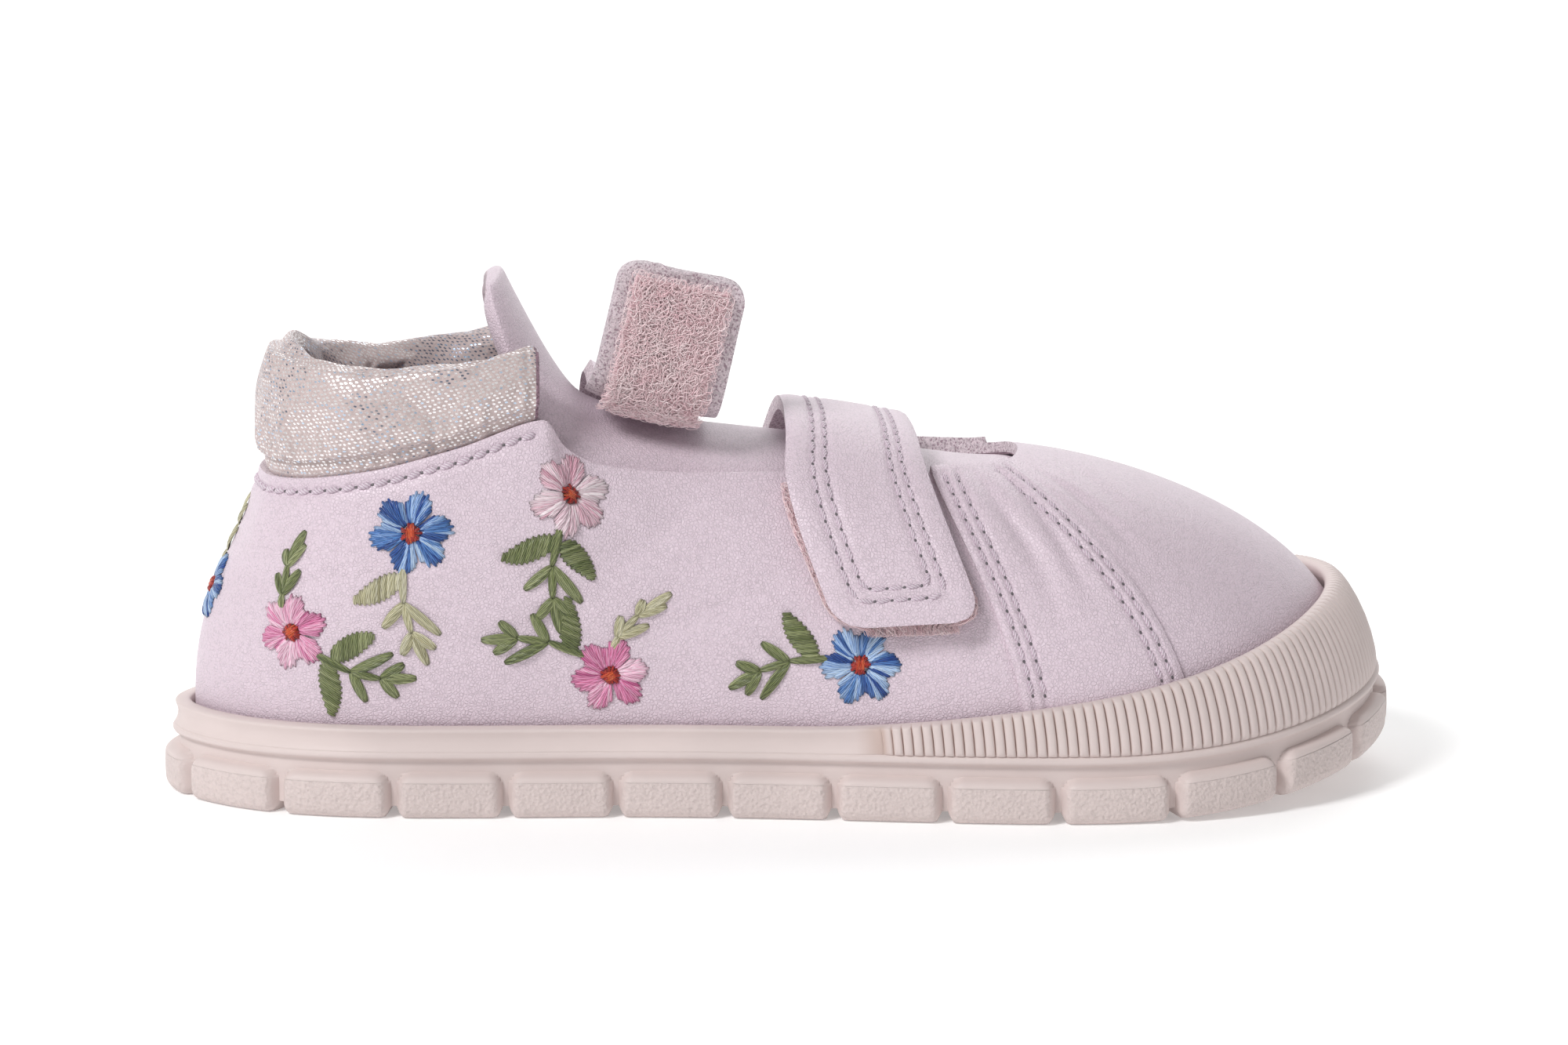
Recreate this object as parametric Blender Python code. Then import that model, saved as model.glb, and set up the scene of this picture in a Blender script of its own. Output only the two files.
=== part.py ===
"""Child's low ankle boot in soft leather, with two hook-and-loop straps and a rubber cupsole.

The toe points along +X, the outer (lateral) side of the foot lies toward -Y and the boot stands on Z = 0.
Lengths below are in millimetres. A place on the boot is given by three numbers:
  side     -1 on the lateral half of the boot, +1 on the medial half
  station  0 at the back of the heel to 1 at the tip of the toe, along the edge of the foot bed
  rise     0 at the foot bed to 1 at the top edge of the upper
"""
import math

import bmesh
import bpy
import numpy as np

MM = 0.001
LATERAL = -1
MEDIAL = 1

# Overall sizes
LENGTH = 150.0
PAD_REACH = 3.9
FOOT_BED_LENGTH = LENGTH - 2 * PAD_REACH
TOE_TIP_Y = 5.0
TOE_SPRING = 4.5
SPRING_START = 0.70 * LENGTH
GAP = 0.4
NEAR = 0.004

# Edge of the foot bed: part of its length from the heel, then half widths to either side
FOOT_BED = [
    # along, lateral, medial
    (0.030, 9.0, 9.0),
    (0.090, 15.3, 15.3),
    (0.200, 18.8, 18.6),
    (0.350, 20.2, 18.9),
    (0.500, 23.2, 20.4),
    (0.640, 27.2, 25.4),
    (0.740, 28.8, 28.2),
    (0.840, 27.0, 28.9),
    (0.920, 20.6, 25.6),
    (0.975, 10.6, 18.0),
]

# Top edge of the upper: collar seam, front corner of the quarter, edge of the throat, middle of the vamp
QUARTER_CORNER = 0.335
TOP_EDGE = [
    # station, along, half width, height
    (0.000, 8.0, 0.0, 39.0),
    (0.060, 8.9, 7.0, 39.0),
    (0.120, 12.0, 12.6, 39.2),
    (0.190, 20.5, 17.2, 40.4),
    (0.270, 31.5, 18.8, 43.3),
    (QUARTER_CORNER, 41.5, 18.0, 46.4),
    (0.360, 44.2, 16.9, 43.0),
    (0.390, 48.5, 15.8, 40.8),
    (0.460, 60.0, 14.4, 39.6),
    (0.550, 76.0, 13.8, 39.3),
    (0.620, 87.0, 12.4, 39.0),
    (0.680, 93.5, 10.6, 39.0),
    (0.760, 97.5, 7.6, 39.5),
    (0.880, 99.2, 3.8, 40.1),
    (1.000, 99.6, 0.0, 40.3),
]

# Belly of the side wall: lift and flare of the lower handle, reach, lead and drop of the upper handle
WALL_CURVE = [
    # station, lift, flare, reach, lead, drop
    (0.000, 18.0, 1.6, 3.0, 0.0, 12.0),
    (0.120, 18.0, 1.4, 3.6, 0.0, 12.0),
    (0.270, 17.0, 1.0, 4.6, 0.0, 12.0),
    (QUARTER_CORNER, 16.0, 1.0, 4.8, 0.0, 11.0),
    (0.390, 15.5, 1.0, 5.6, 0.0, 9.0),
    (0.500, 15.5, 1.0, 7.8, 0.5, 7.0),
    (0.620, 16.0, 1.0, 10.5, 2.0, 4.6),
    (0.760, 16.5, 0.8, 16.0, 3.0, 3.2),
    (0.880, 15.5, 0.6, 21.0, 2.0, 3.2),
    (1.000, 15.0, 0.6, 24.0, 0.0, 3.4),
]

# Upper
WALL = 1.6
TOP_SLOPE = 0.03
SADDLE_BACK = 0.630
SADDLE_FRONT = 0.735
SADDLE_LIFT = 0.7
SADDLE_OVER_RIM = (-0.2, 1.4)
SEAM_STEP = 0.002
UPPER_RISES = (0.0, 0.13, 0.25, 0.37, 0.50, 0.62, 0.74, 0.85, 0.94, 1.0)
UPPER_STATIONS = (
    0.0, 0.03, 0.06, 0.09, 0.12, 0.155, 0.19, 0.23, 0.27, 0.305, QUARTER_CORNER, 0.347, 0.36, 0.375, 0.39,
    0.425, 0.46, 0.505, 0.55, 0.59, SADDLE_BACK - SEAM_STEP, SADDLE_BACK, 0.665, 0.70, SADDLE_FRONT,
    SADDLE_FRONT + SEAM_STEP, 0.78, 0.82, 0.86, 0.90, 0.935, 0.97, 1.0,
)

# Sole
PLATFORM = 5.0
FOXING_TOP = 10.8
BUMPER_TOP = 18.6
BUMPER_CLIMB = (0.46, 0.93)
RIB_START = 0.52
RIBS_PER_SIDE = 70
RIB_DEPTH = 0.55
FOXING_WALL = 2.0
BAND_FOOT = 8.3
PAD_COUNT = 26
PAD_COLUMNS = (0.03, 0.11, 0.37, 0.63, 0.89, 0.97)
PAD_FULL = (False, True, True, True, True, False)
TREAD = 1.2
ARCH = (0.36 * LENGTH, 0.43 * LENGTH, 0.50 * LENGTH, 0.57 * LENGTH)
SOLE_SIDE = [
    # reach in a gap, height in a gap, reach on a pad, height on a pad
    (-7.6, TREAD, -7.6, TREAD),
    (-6.2, TREAD, -6.2, TREAD),
    (-5.4, TREAD, -5.4, 0.0),
    (1.4, TREAD, 2.7, 0.0),
    (2.2, 1.9, PAD_REACH, 1.3),
    (2.3, 4.1, PAD_REACH, 4.1),
    (2.3, 5.3, 2.7, 5.3),
    (2.3, 6.7, 2.3, 6.7),
    (3.0, 7.05, 3.0, 7.05),
    (3.0, 7.65, 3.0, 7.65),
    (2.4, 8.0, 2.4, 8.0),
]
ISLAND_REACH = -8.2
BAND = [
    # part of the way up the band, reach of the plain band, reach between the ribs
    (0.00, FOXING_WALL + 0.2, FOXING_WALL),
    (0.50, FOXING_WALL - 0.3, FOXING_WALL),
    (0.86, FOXING_WALL, FOXING_WALL - 0.1),
    (0.98, FOXING_WALL - 0.6, FOXING_WALL - 0.7),
]
CUP_WALL_PARTS = (1.0, 0.66, 0.33, 0.0)
CUP_CLEARANCE = 0.45

# Insole
INSOLE_THICKNESS = 2.2
INSOLE_PLAY = 0.2

# Tongue
TONGUE_THICKNESS = 2.4
TONGUE_STATIONS = (0.385, 0.42, 0.46, 0.51, 0.56, 0.61, 0.66, 0.72)
TONGUE_WINGS = (0.90, 0.96)
TONGUE_CROWN_COLUMNS = 9
TONGUE_TOE = (5.0, -0.9, 0.9, 1.0, 0.0)
TONGUE_TIP = [
    # along, height, width factor, arch factor and backward lean in degrees past the end of the throat
    (-8.6, 14.4, 0.46, 0.22, 60.0),
    (-8.2, 13.4, 0.62, 0.28, 60.0),
    (-6.0, 9.2, 0.68, 0.40, 55.0),
    (-3.4, 4.6, 0.72, 0.56, 40.0),
    (-1.4, 1.6, 0.84, 0.78, 18.0),
]

# Collar
COLLAR_HEIGHT = [
    # station, height
    (0.000, 15.5),
    (0.060, 15.3),
    (0.120, 14.2),
    (0.220, 11.0),
    (QUARTER_CORNER, 8.6),
    (1.000, 8.6),
]
COLLAR_SECTION = [
    # part of the height, place across the wall (outward is positive)
    (0.00, -0.7),
    (0.10, -0.3),
    (0.35, 0.9),
    (0.68, 1.0),
    (0.90, 0.0),
    (1.00, -1.6),
    (0.93, -3.2),
    (0.68, -4.0),
    (0.35, -3.6),
    (0.00, -1.7),
]
COLLAR_STATIONS = (QUARTER_CORNER - 0.002, 0.328, 0.31, 0.28, 0.24, 0.20, 0.16, 0.12, 0.09, 0.06, 0.03)
COLLAR_LEAN = 0.45
COLLAR_END_SCALE = 0.72

# Straps and the loop fabric under them
STRAP_THICKNESS = 1.8
STRAP_CORNER = 3.2
STRAP_END_STEPS = (1.0, 0.55, 0.22, 0.05, 0.0)
LOWER_STRAP = (0.515, 0.612)
UPPER_STRAP = (0.378, 0.468)
STRAP_COLUMNS = 5
STRAP_WALL_ROWS = 6
STRAP_CROWN_ROWS = 7
STRAP_ROOT_RISE = 0.42
STRAP_END_RISE = 0.40
CROWN_FULLNESS = 1.1
LANDING = (1.5, 2.1)
FLAP_LEAVES_CROWN = 0.64
FLAP_LENGTH = 24.0
FLAP_BEND_LENGTH = 13.0
FLAP_BEND = math.radians(96)
FLAP_STOPS = (2.0, 4.0, 6.0, 8.0, 10.0, 12.0, 14.5, 17.5)
FLAP_STOPS += tuple(FLAP_LENGTH - STRAP_CORNER * part for part in STRAP_END_STEPS)
LOOP_THICKNESS = 1.1
LOOP_INSET = 2.0
LOOP_TUCK = 0.7
LOOP_GAP = 0.3

COLOURS = {
    # part: red, green, blue, roughness
    "rubber": (0.67, 0.59, 0.57, 0.62),
    "leather": (0.69, 0.60, 0.68, 0.48),
    "shimmer": (0.52, 0.42, 0.41, 0.40),
    "lining": (0.62, 0.50, 0.55, 0.85),
    "loop": (0.66, 0.40, 0.45, 0.95),
}


def smooth_step(start, end, value):
    """Ease from 0 at start to 1 at end."""
    part = min(max((value - start) / (end - start), 0.0), 1.0)
    return part * part * (3 - 2 * part)


def unit(vector):
    """Return the vector at length one."""
    return vector / np.linalg.norm(vector)


def half_table_curve(rows, odd_column=None):
    """Make a smooth function of the station through a table that mirrors at the heel and at the toe."""
    rows = np.array(rows)
    sign = np.ones(rows.shape[1])
    if odd_column is not None:
        sign[odd_column] = -1.0
    before = rows[2:0:-1] * sign
    before[:, 0] *= -1.0
    after = rows[-2:-4:-1] * sign
    after[:, 0] = 2.0 - after[:, 0]
    knots = np.vstack([before, rows, after])
    place = knots[:, 0]
    value = knots[:, 1:]
    span = np.diff(place)[:, None]
    secant = np.diff(value, axis=0) / span
    product = secant[:-1] * secant[1:]
    total = secant[:-1] + secant[1:]
    slope = np.zeros_like(value)
    slope[1:-1] = np.where(product > 0, 2 * product / np.where(product > 0, total, 1.0), 0.0)

    def at(station):
        index = min(max(int(np.searchsorted(place, station, "right")) - 1, 0), len(place) - 2)
        length = place[index + 1] - place[index]
        part = (station - place[index]) / length
        rest = 1 - part
        return (value[index] * (1 + 2 * part) * rest ** 2 + slope[index] * length * part * rest ** 2
                + value[index + 1] * part ** 2 * (3 - 2 * part) - slope[index + 1] * length * part ** 2 * rest)

    return at


def closed_curve(points, steps):
    """Sample a smooth closed curve through the points, the same number of steps from point to point."""
    points = np.array(points)
    count = len(points)
    following = np.roll(points, -1, axis=0)
    chord = np.linalg.norm(following - points, axis=1)
    back = np.roll(chord, 1)
    matrix = np.zeros((count, count))
    rhs = np.zeros_like(points)
    for i in range(count):
        matrix[i, i - 1] = 1 / back[i]
        matrix[i, i] = 2 / back[i] + 2 / chord[i]
        matrix[i, (i + 1) % count] = 1 / chord[i]
        rhs[i] = 3 * ((points[i] - points[i - 1]) / back[i] ** 2 + (following[i] - points[i]) / chord[i] ** 2)
    slope = np.linalg.solve(matrix, rhs)
    samples = []
    for i in range(count):
        leaving = slope[i] * chord[i]
        arriving = slope[(i + 1) % count] * chord[i]
        for part in np.linspace(0.0, 1.0, steps, endpoint=False):
            rest = 1 - part
            samples.append(points[i] * (1 + 2 * part) * rest ** 2 + leaving * part * rest ** 2
                           + following[i] * part ** 2 * (3 - 2 * part) - arriving * part ** 2 * rest)
    return np.array(samples)


def foot_bed_halves():
    """Return the two halves of the foot bed's edge as dense points from heel to toe, with their arc length."""
    heel = [(0.0, 0.0)]
    lateral = [(along * FOOT_BED_LENGTH, -half) for along, half, _ in FOOT_BED]
    toe = [(FOOT_BED_LENGTH, TOE_TIP_Y)]
    medial = [(along * FOOT_BED_LENGTH, half) for along, _, half in reversed(FOOT_BED)]
    steps = 40
    loop = closed_curve(heel + lateral + toe + medial, steps)
    toe_index = (len(lateral) + 1) * steps
    halves = {LATERAL: loop[:toe_index + 1], MEDIAL: np.vstack([loop[toe_index:], loop[:1]])[::-1]}
    result = {}
    for side, points in halves.items():
        arc = np.concatenate([[0.0], np.cumsum(np.linalg.norm(np.diff(points, axis=0), axis=1))])
        result[side] = (points, arc)
    return result


HALVES = foot_bed_halves()
TOP = half_table_curve(TOP_EDGE, odd_column=2)
BELLY = half_table_curve(WALL_CURVE)
COLLAR_RISE = half_table_curve(COLLAR_HEIGHT)


def bed_point(side, station):
    """Return the point of the foot bed's edge and its outward direction in plan."""
    points, arc = HALVES[side]

    def at(part):
        if part < 0.0 or part > 1.0:
            other, other_arc = HALVES[-side]
            part = -part if part < 0.0 else 2.0 - part
            return np.array([np.interp(part * other_arc[-1], other_arc, other[:, k]) for k in (0, 1)])
        return np.array([np.interp(part * arc[-1], arc, points[:, k]) for k in (0, 1)])

    along = unit(at(station + NEAR) - at(station - NEAR))
    outward = np.array([-along[1], along[0]]) * side
    return at(station), outward


def spring(along):
    """Return how far the sole curls up from the floor toward the toe."""
    part = max((along - SPRING_START) / (FOOT_BED_LENGTH - SPRING_START), 0.0)
    return TOE_SPRING * part ** 2


def skin(side, station, rise):
    """Return a point of the upper's outer face."""
    foot, outward = bed_point(side, station)
    along, half, height = TOP(station)
    lift, flare, reach, lead, drop = BELLY(station)
    bottom = np.array([foot[0], foot[1], PLATFORM + GAP + spring(foot[0])])
    top = np.array([along, side * half, height])
    out = np.array([outward[0], outward[1], 0.0])
    low = bottom + flare * out + np.array([0.0, 0.0, lift])
    high = top + reach * out + np.array([lead, 0.0, -drop])
    rest = 1 - rise
    return bottom * rest ** 3 + 3 * low * rise * rest ** 2 + 3 * high * rise ** 2 * rest + top * rise ** 3


def skin_normal(side, station, rise):
    """Return the outward direction of the upper's outer face."""
    here = min(max(station, NEAR), 1 - NEAR)
    along = skin(side, here + NEAR, rise) - skin(side, here - NEAR, rise)
    level = min(max(rise, NEAR), 1 - NEAR)
    up = skin(side, station, level + NEAR) - skin(side, station, level - NEAR)
    return unit(np.cross(along, up)) * -side


def rise_at_height(side, station, height):
    """Return how far up the upper's outer face a given height lies."""
    low, high = 0.0, 1.0
    for _ in range(24):
        middle = (low + high) / 2
        if skin(side, station, middle)[2] < height:
            low = middle
        else:
            high = middle
    return (low + high) / 2


def rim_height(side, station):
    """Return the height of the sole's rim, which climbs into the toe bumper."""
    foot, _ = bed_point(side, station)
    climb = smooth_step(BUMPER_CLIMB[0], BUMPER_CLIMB[1], station)
    return FOXING_TOP + (BUMPER_TOP - FOXING_TOP) * climb + spring(foot[0])


def saddle_lift(side, station, height):
    """Return how far the side band stands proud of the upper above the rim of the sole."""
    if not SADDLE_BACK <= station <= SADDLE_FRONT:
        return 0.0
    rim = rim_height(side, station)
    return SADDLE_LIFT * smooth_step(rim + SADDLE_OVER_RIM[0], rim + SADDLE_OVER_RIM[1], height)


def loop_places(stations):
    """Return side and station of the columns right round the boot, from the heel by the lateral side."""
    lateral = [(LATERAL, station) for station in stations]
    medial = [(MEDIAL, station) for station in stations if 0.0 < station < 1.0]
    return lateral + medial[::-1]


def girth_point(station, across):
    """Return a point over the instep: 0 to 1 up the medial wall, to 2 over the throat, to 3 down the lateral."""
    if across <= 1.0:
        return skin(MEDIAL, station, across)
    if across >= 2.0:
        return skin(LATERAL, station, 3.0 - across)
    start = skin(MEDIAL, station, 1.0)
    end = skin(LATERAL, station, 1.0)
    leaving = unit(start - skin(MEDIAL, station, 1.0 - TOP_SLOPE))
    arriving = unit(skin(LATERAL, station, 1.0 - TOP_SLOPE) - end)
    length = CROWN_FULLNESS * np.linalg.norm(end - start)
    part = across - 1.0
    rest = 1 - part
    return (start * (1 + 2 * part) * rest ** 2 + leaving * length * part * rest ** 2
            + end * part ** 2 * (3 - 2 * part) - arriving * length * part ** 2 * rest)


def girth_normal(station, across):
    """Return the outward direction over the instep."""
    along = girth_point(station + NEAR, across) - girth_point(station - NEAR, across)
    over = girth_point(station, across + NEAR) - girth_point(station, across - NEAR)
    return unit(np.cross(over, along))


def make_material(name):
    """Return the plain material of a kind of stuff."""
    red, green, blue, rough = COLOURS[name]
    material = bpy.data.materials.new(name)
    material.use_nodes = True
    shader = material.node_tree.nodes["Principled BSDF"]
    shader.inputs["Base Color"].default_value = (red, green, blue, 1.0)
    shader.inputs["Roughness"].default_value = rough
    shader.inputs["Metallic"].default_value = 0.0
    material.diffuse_color = (red, green, blue, 1.0)
    return material


def make_object(name, bm, material, collection, sharp_degrees):
    """Turn a mesh in millimetres into a named object in metres with outward faces."""
    bmesh.ops.recalc_face_normals(bm, faces=bm.faces)
    bmesh.ops.scale(bm, vec=(MM, MM, MM), verts=bm.verts)
    mesh = bpy.data.meshes.new(name)
    bm.to_mesh(mesh)
    bm.free()
    mesh.shade_smooth()
    mesh.set_sharp_from_angle(angle=math.radians(sharp_degrees))
    mesh.materials.append(material)
    obj = bpy.data.objects.new(name, mesh)
    collection.objects.link(obj)
    return obj


def shell(outer, inner, wrap):
    """Make a closed wall between two grids of points, closed on itself along each row if it wraps."""
    bm = bmesh.new()
    faces = [[[bm.verts.new(point) for point in row] for row in grid] for grid in (outer, inner)]
    rows = len(outer)
    columns = len(outer[0])
    last = columns if wrap else columns - 1
    for i in range(rows - 1):
        for j in range(last):
            k = (j + 1) % columns
            for side in faces:
                bm.faces.new((side[i][j], side[i][k], side[i + 1][k], side[i + 1][j]))
    for i in (0, rows - 1):
        for j in range(last):
            k = (j + 1) % columns
            bm.faces.new((faces[0][i][j], faces[1][i][j], faces[1][i][k], faces[0][i][k]))
    if not wrap:
        for j in (0, columns - 1):
            for i in range(rows - 1):
                bm.faces.new((faces[0][i][j], faces[0][i + 1][j], faces[1][i + 1][j], faces[1][i][j]))
    return bm


def join_rings(bm, first, second):
    """Join two rings of (place round the boot, vertex) pairs, whatever their numbers of columns."""
    i = 0
    j = 0
    while i < len(first) or j < len(second):
        here = first[i % len(first)]
        there = second[j % len(second)]
        ahead = first[(i + 1) % len(first)]
        across = second[(j + 1) % len(second)]
        next_first = ahead[0] + (1.0 if i + 1 >= len(first) else 0.0)
        next_second = across[0] + (1.0 if j + 1 >= len(second) else 0.0)
        if i < len(first) and j < len(second) and abs(next_first - next_second) < 1e-6:
            bm.faces.new((here[1], ahead[1], across[1], there[1]))
            i += 1
            j += 1
        elif j >= len(second) or (i < len(first) and next_first < next_second):
            bm.faces.new((here[1], ahead[1], there[1]))
            i += 1
        else:
            bm.faces.new((here[1], across[1], there[1]))
            j += 1


def close_ring(bm, ring, centred):
    """Fill a ring with rungs from its lateral to its medial half; centred if a column lies on the heel's middle."""
    verts = [vert for _, vert in ring]
    count = len(verts)
    start = 1 if centred else 0
    if centred:
        bm.faces.new((verts[0], verts[1], verts[-1]))
    left = start
    right = count - 1
    while right - left > 2:
        bm.faces.new((verts[left], verts[left + 1], verts[right - 1], verts[right]))
        left += 1
        right -= 1
    if right - left == 2:
        bm.faces.new((verts[left], verts[left + 1], verts[right]))


def place_round(side, station):
    """Return the part of the whole edge of the foot bed at which a place lies, from the heel by the lateral side."""
    lateral = HALVES[LATERAL][1][-1]
    medial = HALVES[MEDIAL][1][-1]
    if side == LATERAL:
        return station * lateral / (lateral + medial)
    return 1.0 - station * medial / (lateral + medial)


def side_and_station(place):
    """Return the side and station at a part of the whole edge of the foot bed."""
    lateral = HALVES[LATERAL][1][-1]
    medial = HALVES[MEDIAL][1][-1]
    turn = lateral / (lateral + medial)
    place = place % 1.0
    if place <= turn:
        return LATERAL, place / turn
    return MEDIAL, (1.0 - place) / (1.0 - turn)


def bed_offset(side, station, reach, height):
    """Return a point beside the foot bed's edge at a height over the curled-up sole."""
    foot, outward = bed_point(side, station)
    plan = foot + reach * outward
    return (plan[0], plan[1], height + spring(plan[0]))


def wall_offset(side, station, height, reach):
    """Return a point at a height, a distance out from the upper's outer face."""
    rise = rise_at_height(side, station, height)
    return skin(side, station, rise) + reach * skin_normal(side, station, rise)


def island_height(along):
    """Return the height of the middle of the tread, which is hollow under the arch."""
    return TREAD * smooth_step(ARCH[0], ARCH[1], along) * (1 - smooth_step(ARCH[2], ARCH[3], along))


def make_sole(collection, material):
    """Rubber cupsole: lugs along its edge, recess, ridge, foxing band and ribbed toe bumper."""
    bm = bmesh.new()
    columns = []
    for pad in range(PAD_COUNT):
        for part, full in zip(PAD_COLUMNS, PAD_FULL):
            place = ((pad - 0.5 + part) / PAD_COUNT) % 1.0
            columns.append((place, full))
    columns.sort()

    def pad_ring(gap_reach, gap_height, pad_reach, pad_height):
        ring = []
        for place, full in columns:
            side, station = side_and_station(place)
            reach, height = (pad_reach, pad_height) if full else (gap_reach, gap_height)
            ring.append((place, bm.verts.new(bed_offset(side, station, reach, height))))
        return ring

    island = []
    for place, _ in columns:
        side, station = side_and_station(place)
        foot, outward = bed_point(side, station)
        height = island_height(foot[0] + ISLAND_REACH * outward[0])
        island.append((place, bm.verts.new(bed_offset(side, station, ISLAND_REACH, height))))
    close_ring(bm, island, centred=False)
    rings = [island] + [pad_ring(*row) for row in SOLE_SIDE]

    rib_step = (1.0 - RIB_START) / (2 * RIBS_PER_SIDE)
    fine = [station for station in UPPER_STATIONS if station < RIB_START - rib_step]
    fine += [RIB_START + rib_step * i for i in range(2 * RIBS_PER_SIDE + 1)]
    rib_peak = {round(RIB_START + rib_step * i, 9) for i in range(1, 2 * RIBS_PER_SIDE, 2)}
    for part, plain, ribbed in BAND:
        ring = []
        for side, station in loop_places(fine):
            foot, _ = bed_point(side, station)
            low = BAND_FOOT + spring(foot[0])
            height = low + part * (rim_height(side, station) - low)
            reach = plain if station < RIB_START else ribbed
            if round(station, 9) in rib_peak:
                reach += RIB_DEPTH
            ring.append((place_round(side, station), bm.verts.new(wall_offset(side, station, height, reach + GAP))))
        rings.append(ring)
    for part in CUP_WALL_PARTS:
        ring = []
        for side, station in loop_places(UPPER_STATIONS):
            foot, _ = bed_point(side, station)
            low = PLATFORM + spring(foot[0])
            height = low + part * (rim_height(side, station) - low)
            point = wall_offset(side, station, max(height, low + GAP), CUP_CLEARANCE)
            ring.append((place_round(side, station), bm.verts.new((point[0], point[1], height))))
        rings.append(ring)
    for first, second in zip(rings, rings[1:]):
        join_rings(bm, first, second)
    close_ring(bm, rings[-1], centred=True)
    return make_object("sole", bm, material, collection, 40)


def make_upper(collection, material):
    """Hollow leather upper, open at the collar, along the throat and underneath, with a raised side band."""
    places = loop_places(UPPER_STATIONS)
    outer = []
    inner = []
    for rise in UPPER_RISES:
        points = [skin(side, station, rise) for side, station in places]
        normals = [skin_normal(side, station, rise) for side, station in places]
        lifts = [saddle_lift(side, station, point[2]) for (side, station), point in zip(places, points)]
        outer.append([point + lift * normal for point, normal, lift in zip(points, normals, lifts)])
        inner.append([point - WALL * normal for point, normal in zip(points, normals)])
    return make_object("upper", shell(outer, inner, wrap=True), material, collection, 35)


def make_insole(collection, material):
    """Flat insole on the sole's platform, inside the upper."""
    bm = bmesh.new()
    reach = -(WALL + GAP + INSOLE_PLAY)
    rings = []
    for height in (PLATFORM + GAP, PLATFORM + GAP + INSOLE_THICKNESS):
        ring = []
        for side, station in loop_places(UPPER_STATIONS[::2]):
            ring.append((place_round(side, station), bm.verts.new(bed_offset(side, station, reach, height))))
        rings.append(ring)
    close_ring(bm, rings[0], centred=True)
    join_rings(bm, rings[0], rings[1])
    close_ring(bm, rings[1], centred=True)
    return make_object("insole", bm, material, collection, 40)


def make_tongue(collection, material):
    """Tongue under the throat, from behind the vamp's edge to a rounded tip above the instep."""
    across = list(TONGUE_WINGS)
    across += list(np.linspace(1.0, 2.0, TONGUE_CROWN_COLUMNS))
    across += [3.0 - wing for wing in reversed(TONGUE_WINGS)]
    depth = WALL + GAP

    def section(station, offset):
        return [girth_point(station, w) - offset * girth_normal(station, w) for w in across]

    def moved(row, pivot, along, height, width, arch, lean):
        cosine = math.cos(math.radians(lean))
        sine = math.sin(math.radians(lean))
        turn = np.array([[cosine, 0.0, sine], [0.0, 1.0, 0.0], [-sine, 0.0, cosine]])
        crest = row[len(row) // 2]
        shape = np.array([arch, width, arch])
        shift = pivot + np.array([along, 0.0, height])
        return [shift + turn @ (crest - pivot + (point - crest) * shape) for point in row]

    grids = []
    for offset in (depth, depth + TONGUE_THICKNESS):
        rows = [section(station, offset) for station in TONGUE_STATIONS]
        crest = girth_point(TONGUE_STATIONS[0], 1.5)
        tip = [moved(rows[0], crest, *place) for place in TONGUE_TIP]
        grids.append(tip + rows + [moved(rows[-1], girth_point(TONGUE_STATIONS[-1], 1.5), *TONGUE_TOE)])
    return make_object("tongue", shell(grids[0], grids[1], wrap=False), material, collection, 50)


def make_collar(collection, material):
    """Padded collar that stands on the quarter's top edge and ends at its two front corners."""
    places = [(LATERAL, station) for station in COLLAR_STATIONS]
    places += [(LATERAL, 0.0)]
    places += [(MEDIAL, station) for station in reversed(COLLAR_STATIONS)]
    rows = []
    for index, (side, station) in enumerate(places):
        base = skin(side, station, 1.0)
        upward = unit(base - skin(side, station, 1.0 - TOP_SLOPE))
        upward = unit(upward + np.array([0.0, 0.0, COLLAR_LEAN]))
        outward = skin_normal(side, station, 1.0)
        outward = unit(outward - upward * np.dot(outward, upward))
        height = COLLAR_RISE(station)[0]
        section = [base + outward * out + upward * (GAP + part * height) for part, out in COLLAR_SECTION]
        if index in (0, len(places) - 1):
            middle = sum(section) / len(section)
            section = [middle + (point - middle) * COLLAR_END_SCALE for point in section]
        rows.append(section)
    bm = bmesh.new()
    grid = [[bm.verts.new(point) for point in section] for section in rows]
    count = len(COLLAR_SECTION)
    for first, second in zip(grid, grid[1:]):
        for j in range(count):
            k = (j + 1) % count
            bm.faces.new((first[j], first[k], second[k], second[j]))
    bm.faces.new(grid[0])
    bm.faces.new(grid[-1])
    return make_object("collar", bm, material, collection, 50)


def strap_stations(limits, to_end, inset=0.0):
    """Return the columns across a strap, drawn in by its rounded corners near its end."""
    back, front = limits
    short = max(STRAP_CORNER - to_end, 0.0)
    corner = STRAP_CORNER - math.sqrt(STRAP_CORNER ** 2 - short ** 2)
    draw = inset + corner / HALVES[LATERAL][1][-1]
    return np.linspace(back + draw, front - draw, STRAP_COLUMNS)


def raised_grids(rows, low, high):
    """Offset rows of (point, outward direction) to the two faces of a strip."""
    outer = [[point + high * normal for point, normal in row] for row in rows]
    inner = [[point + low * normal for point, normal in row] for row in rows]
    return outer, inner


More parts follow.
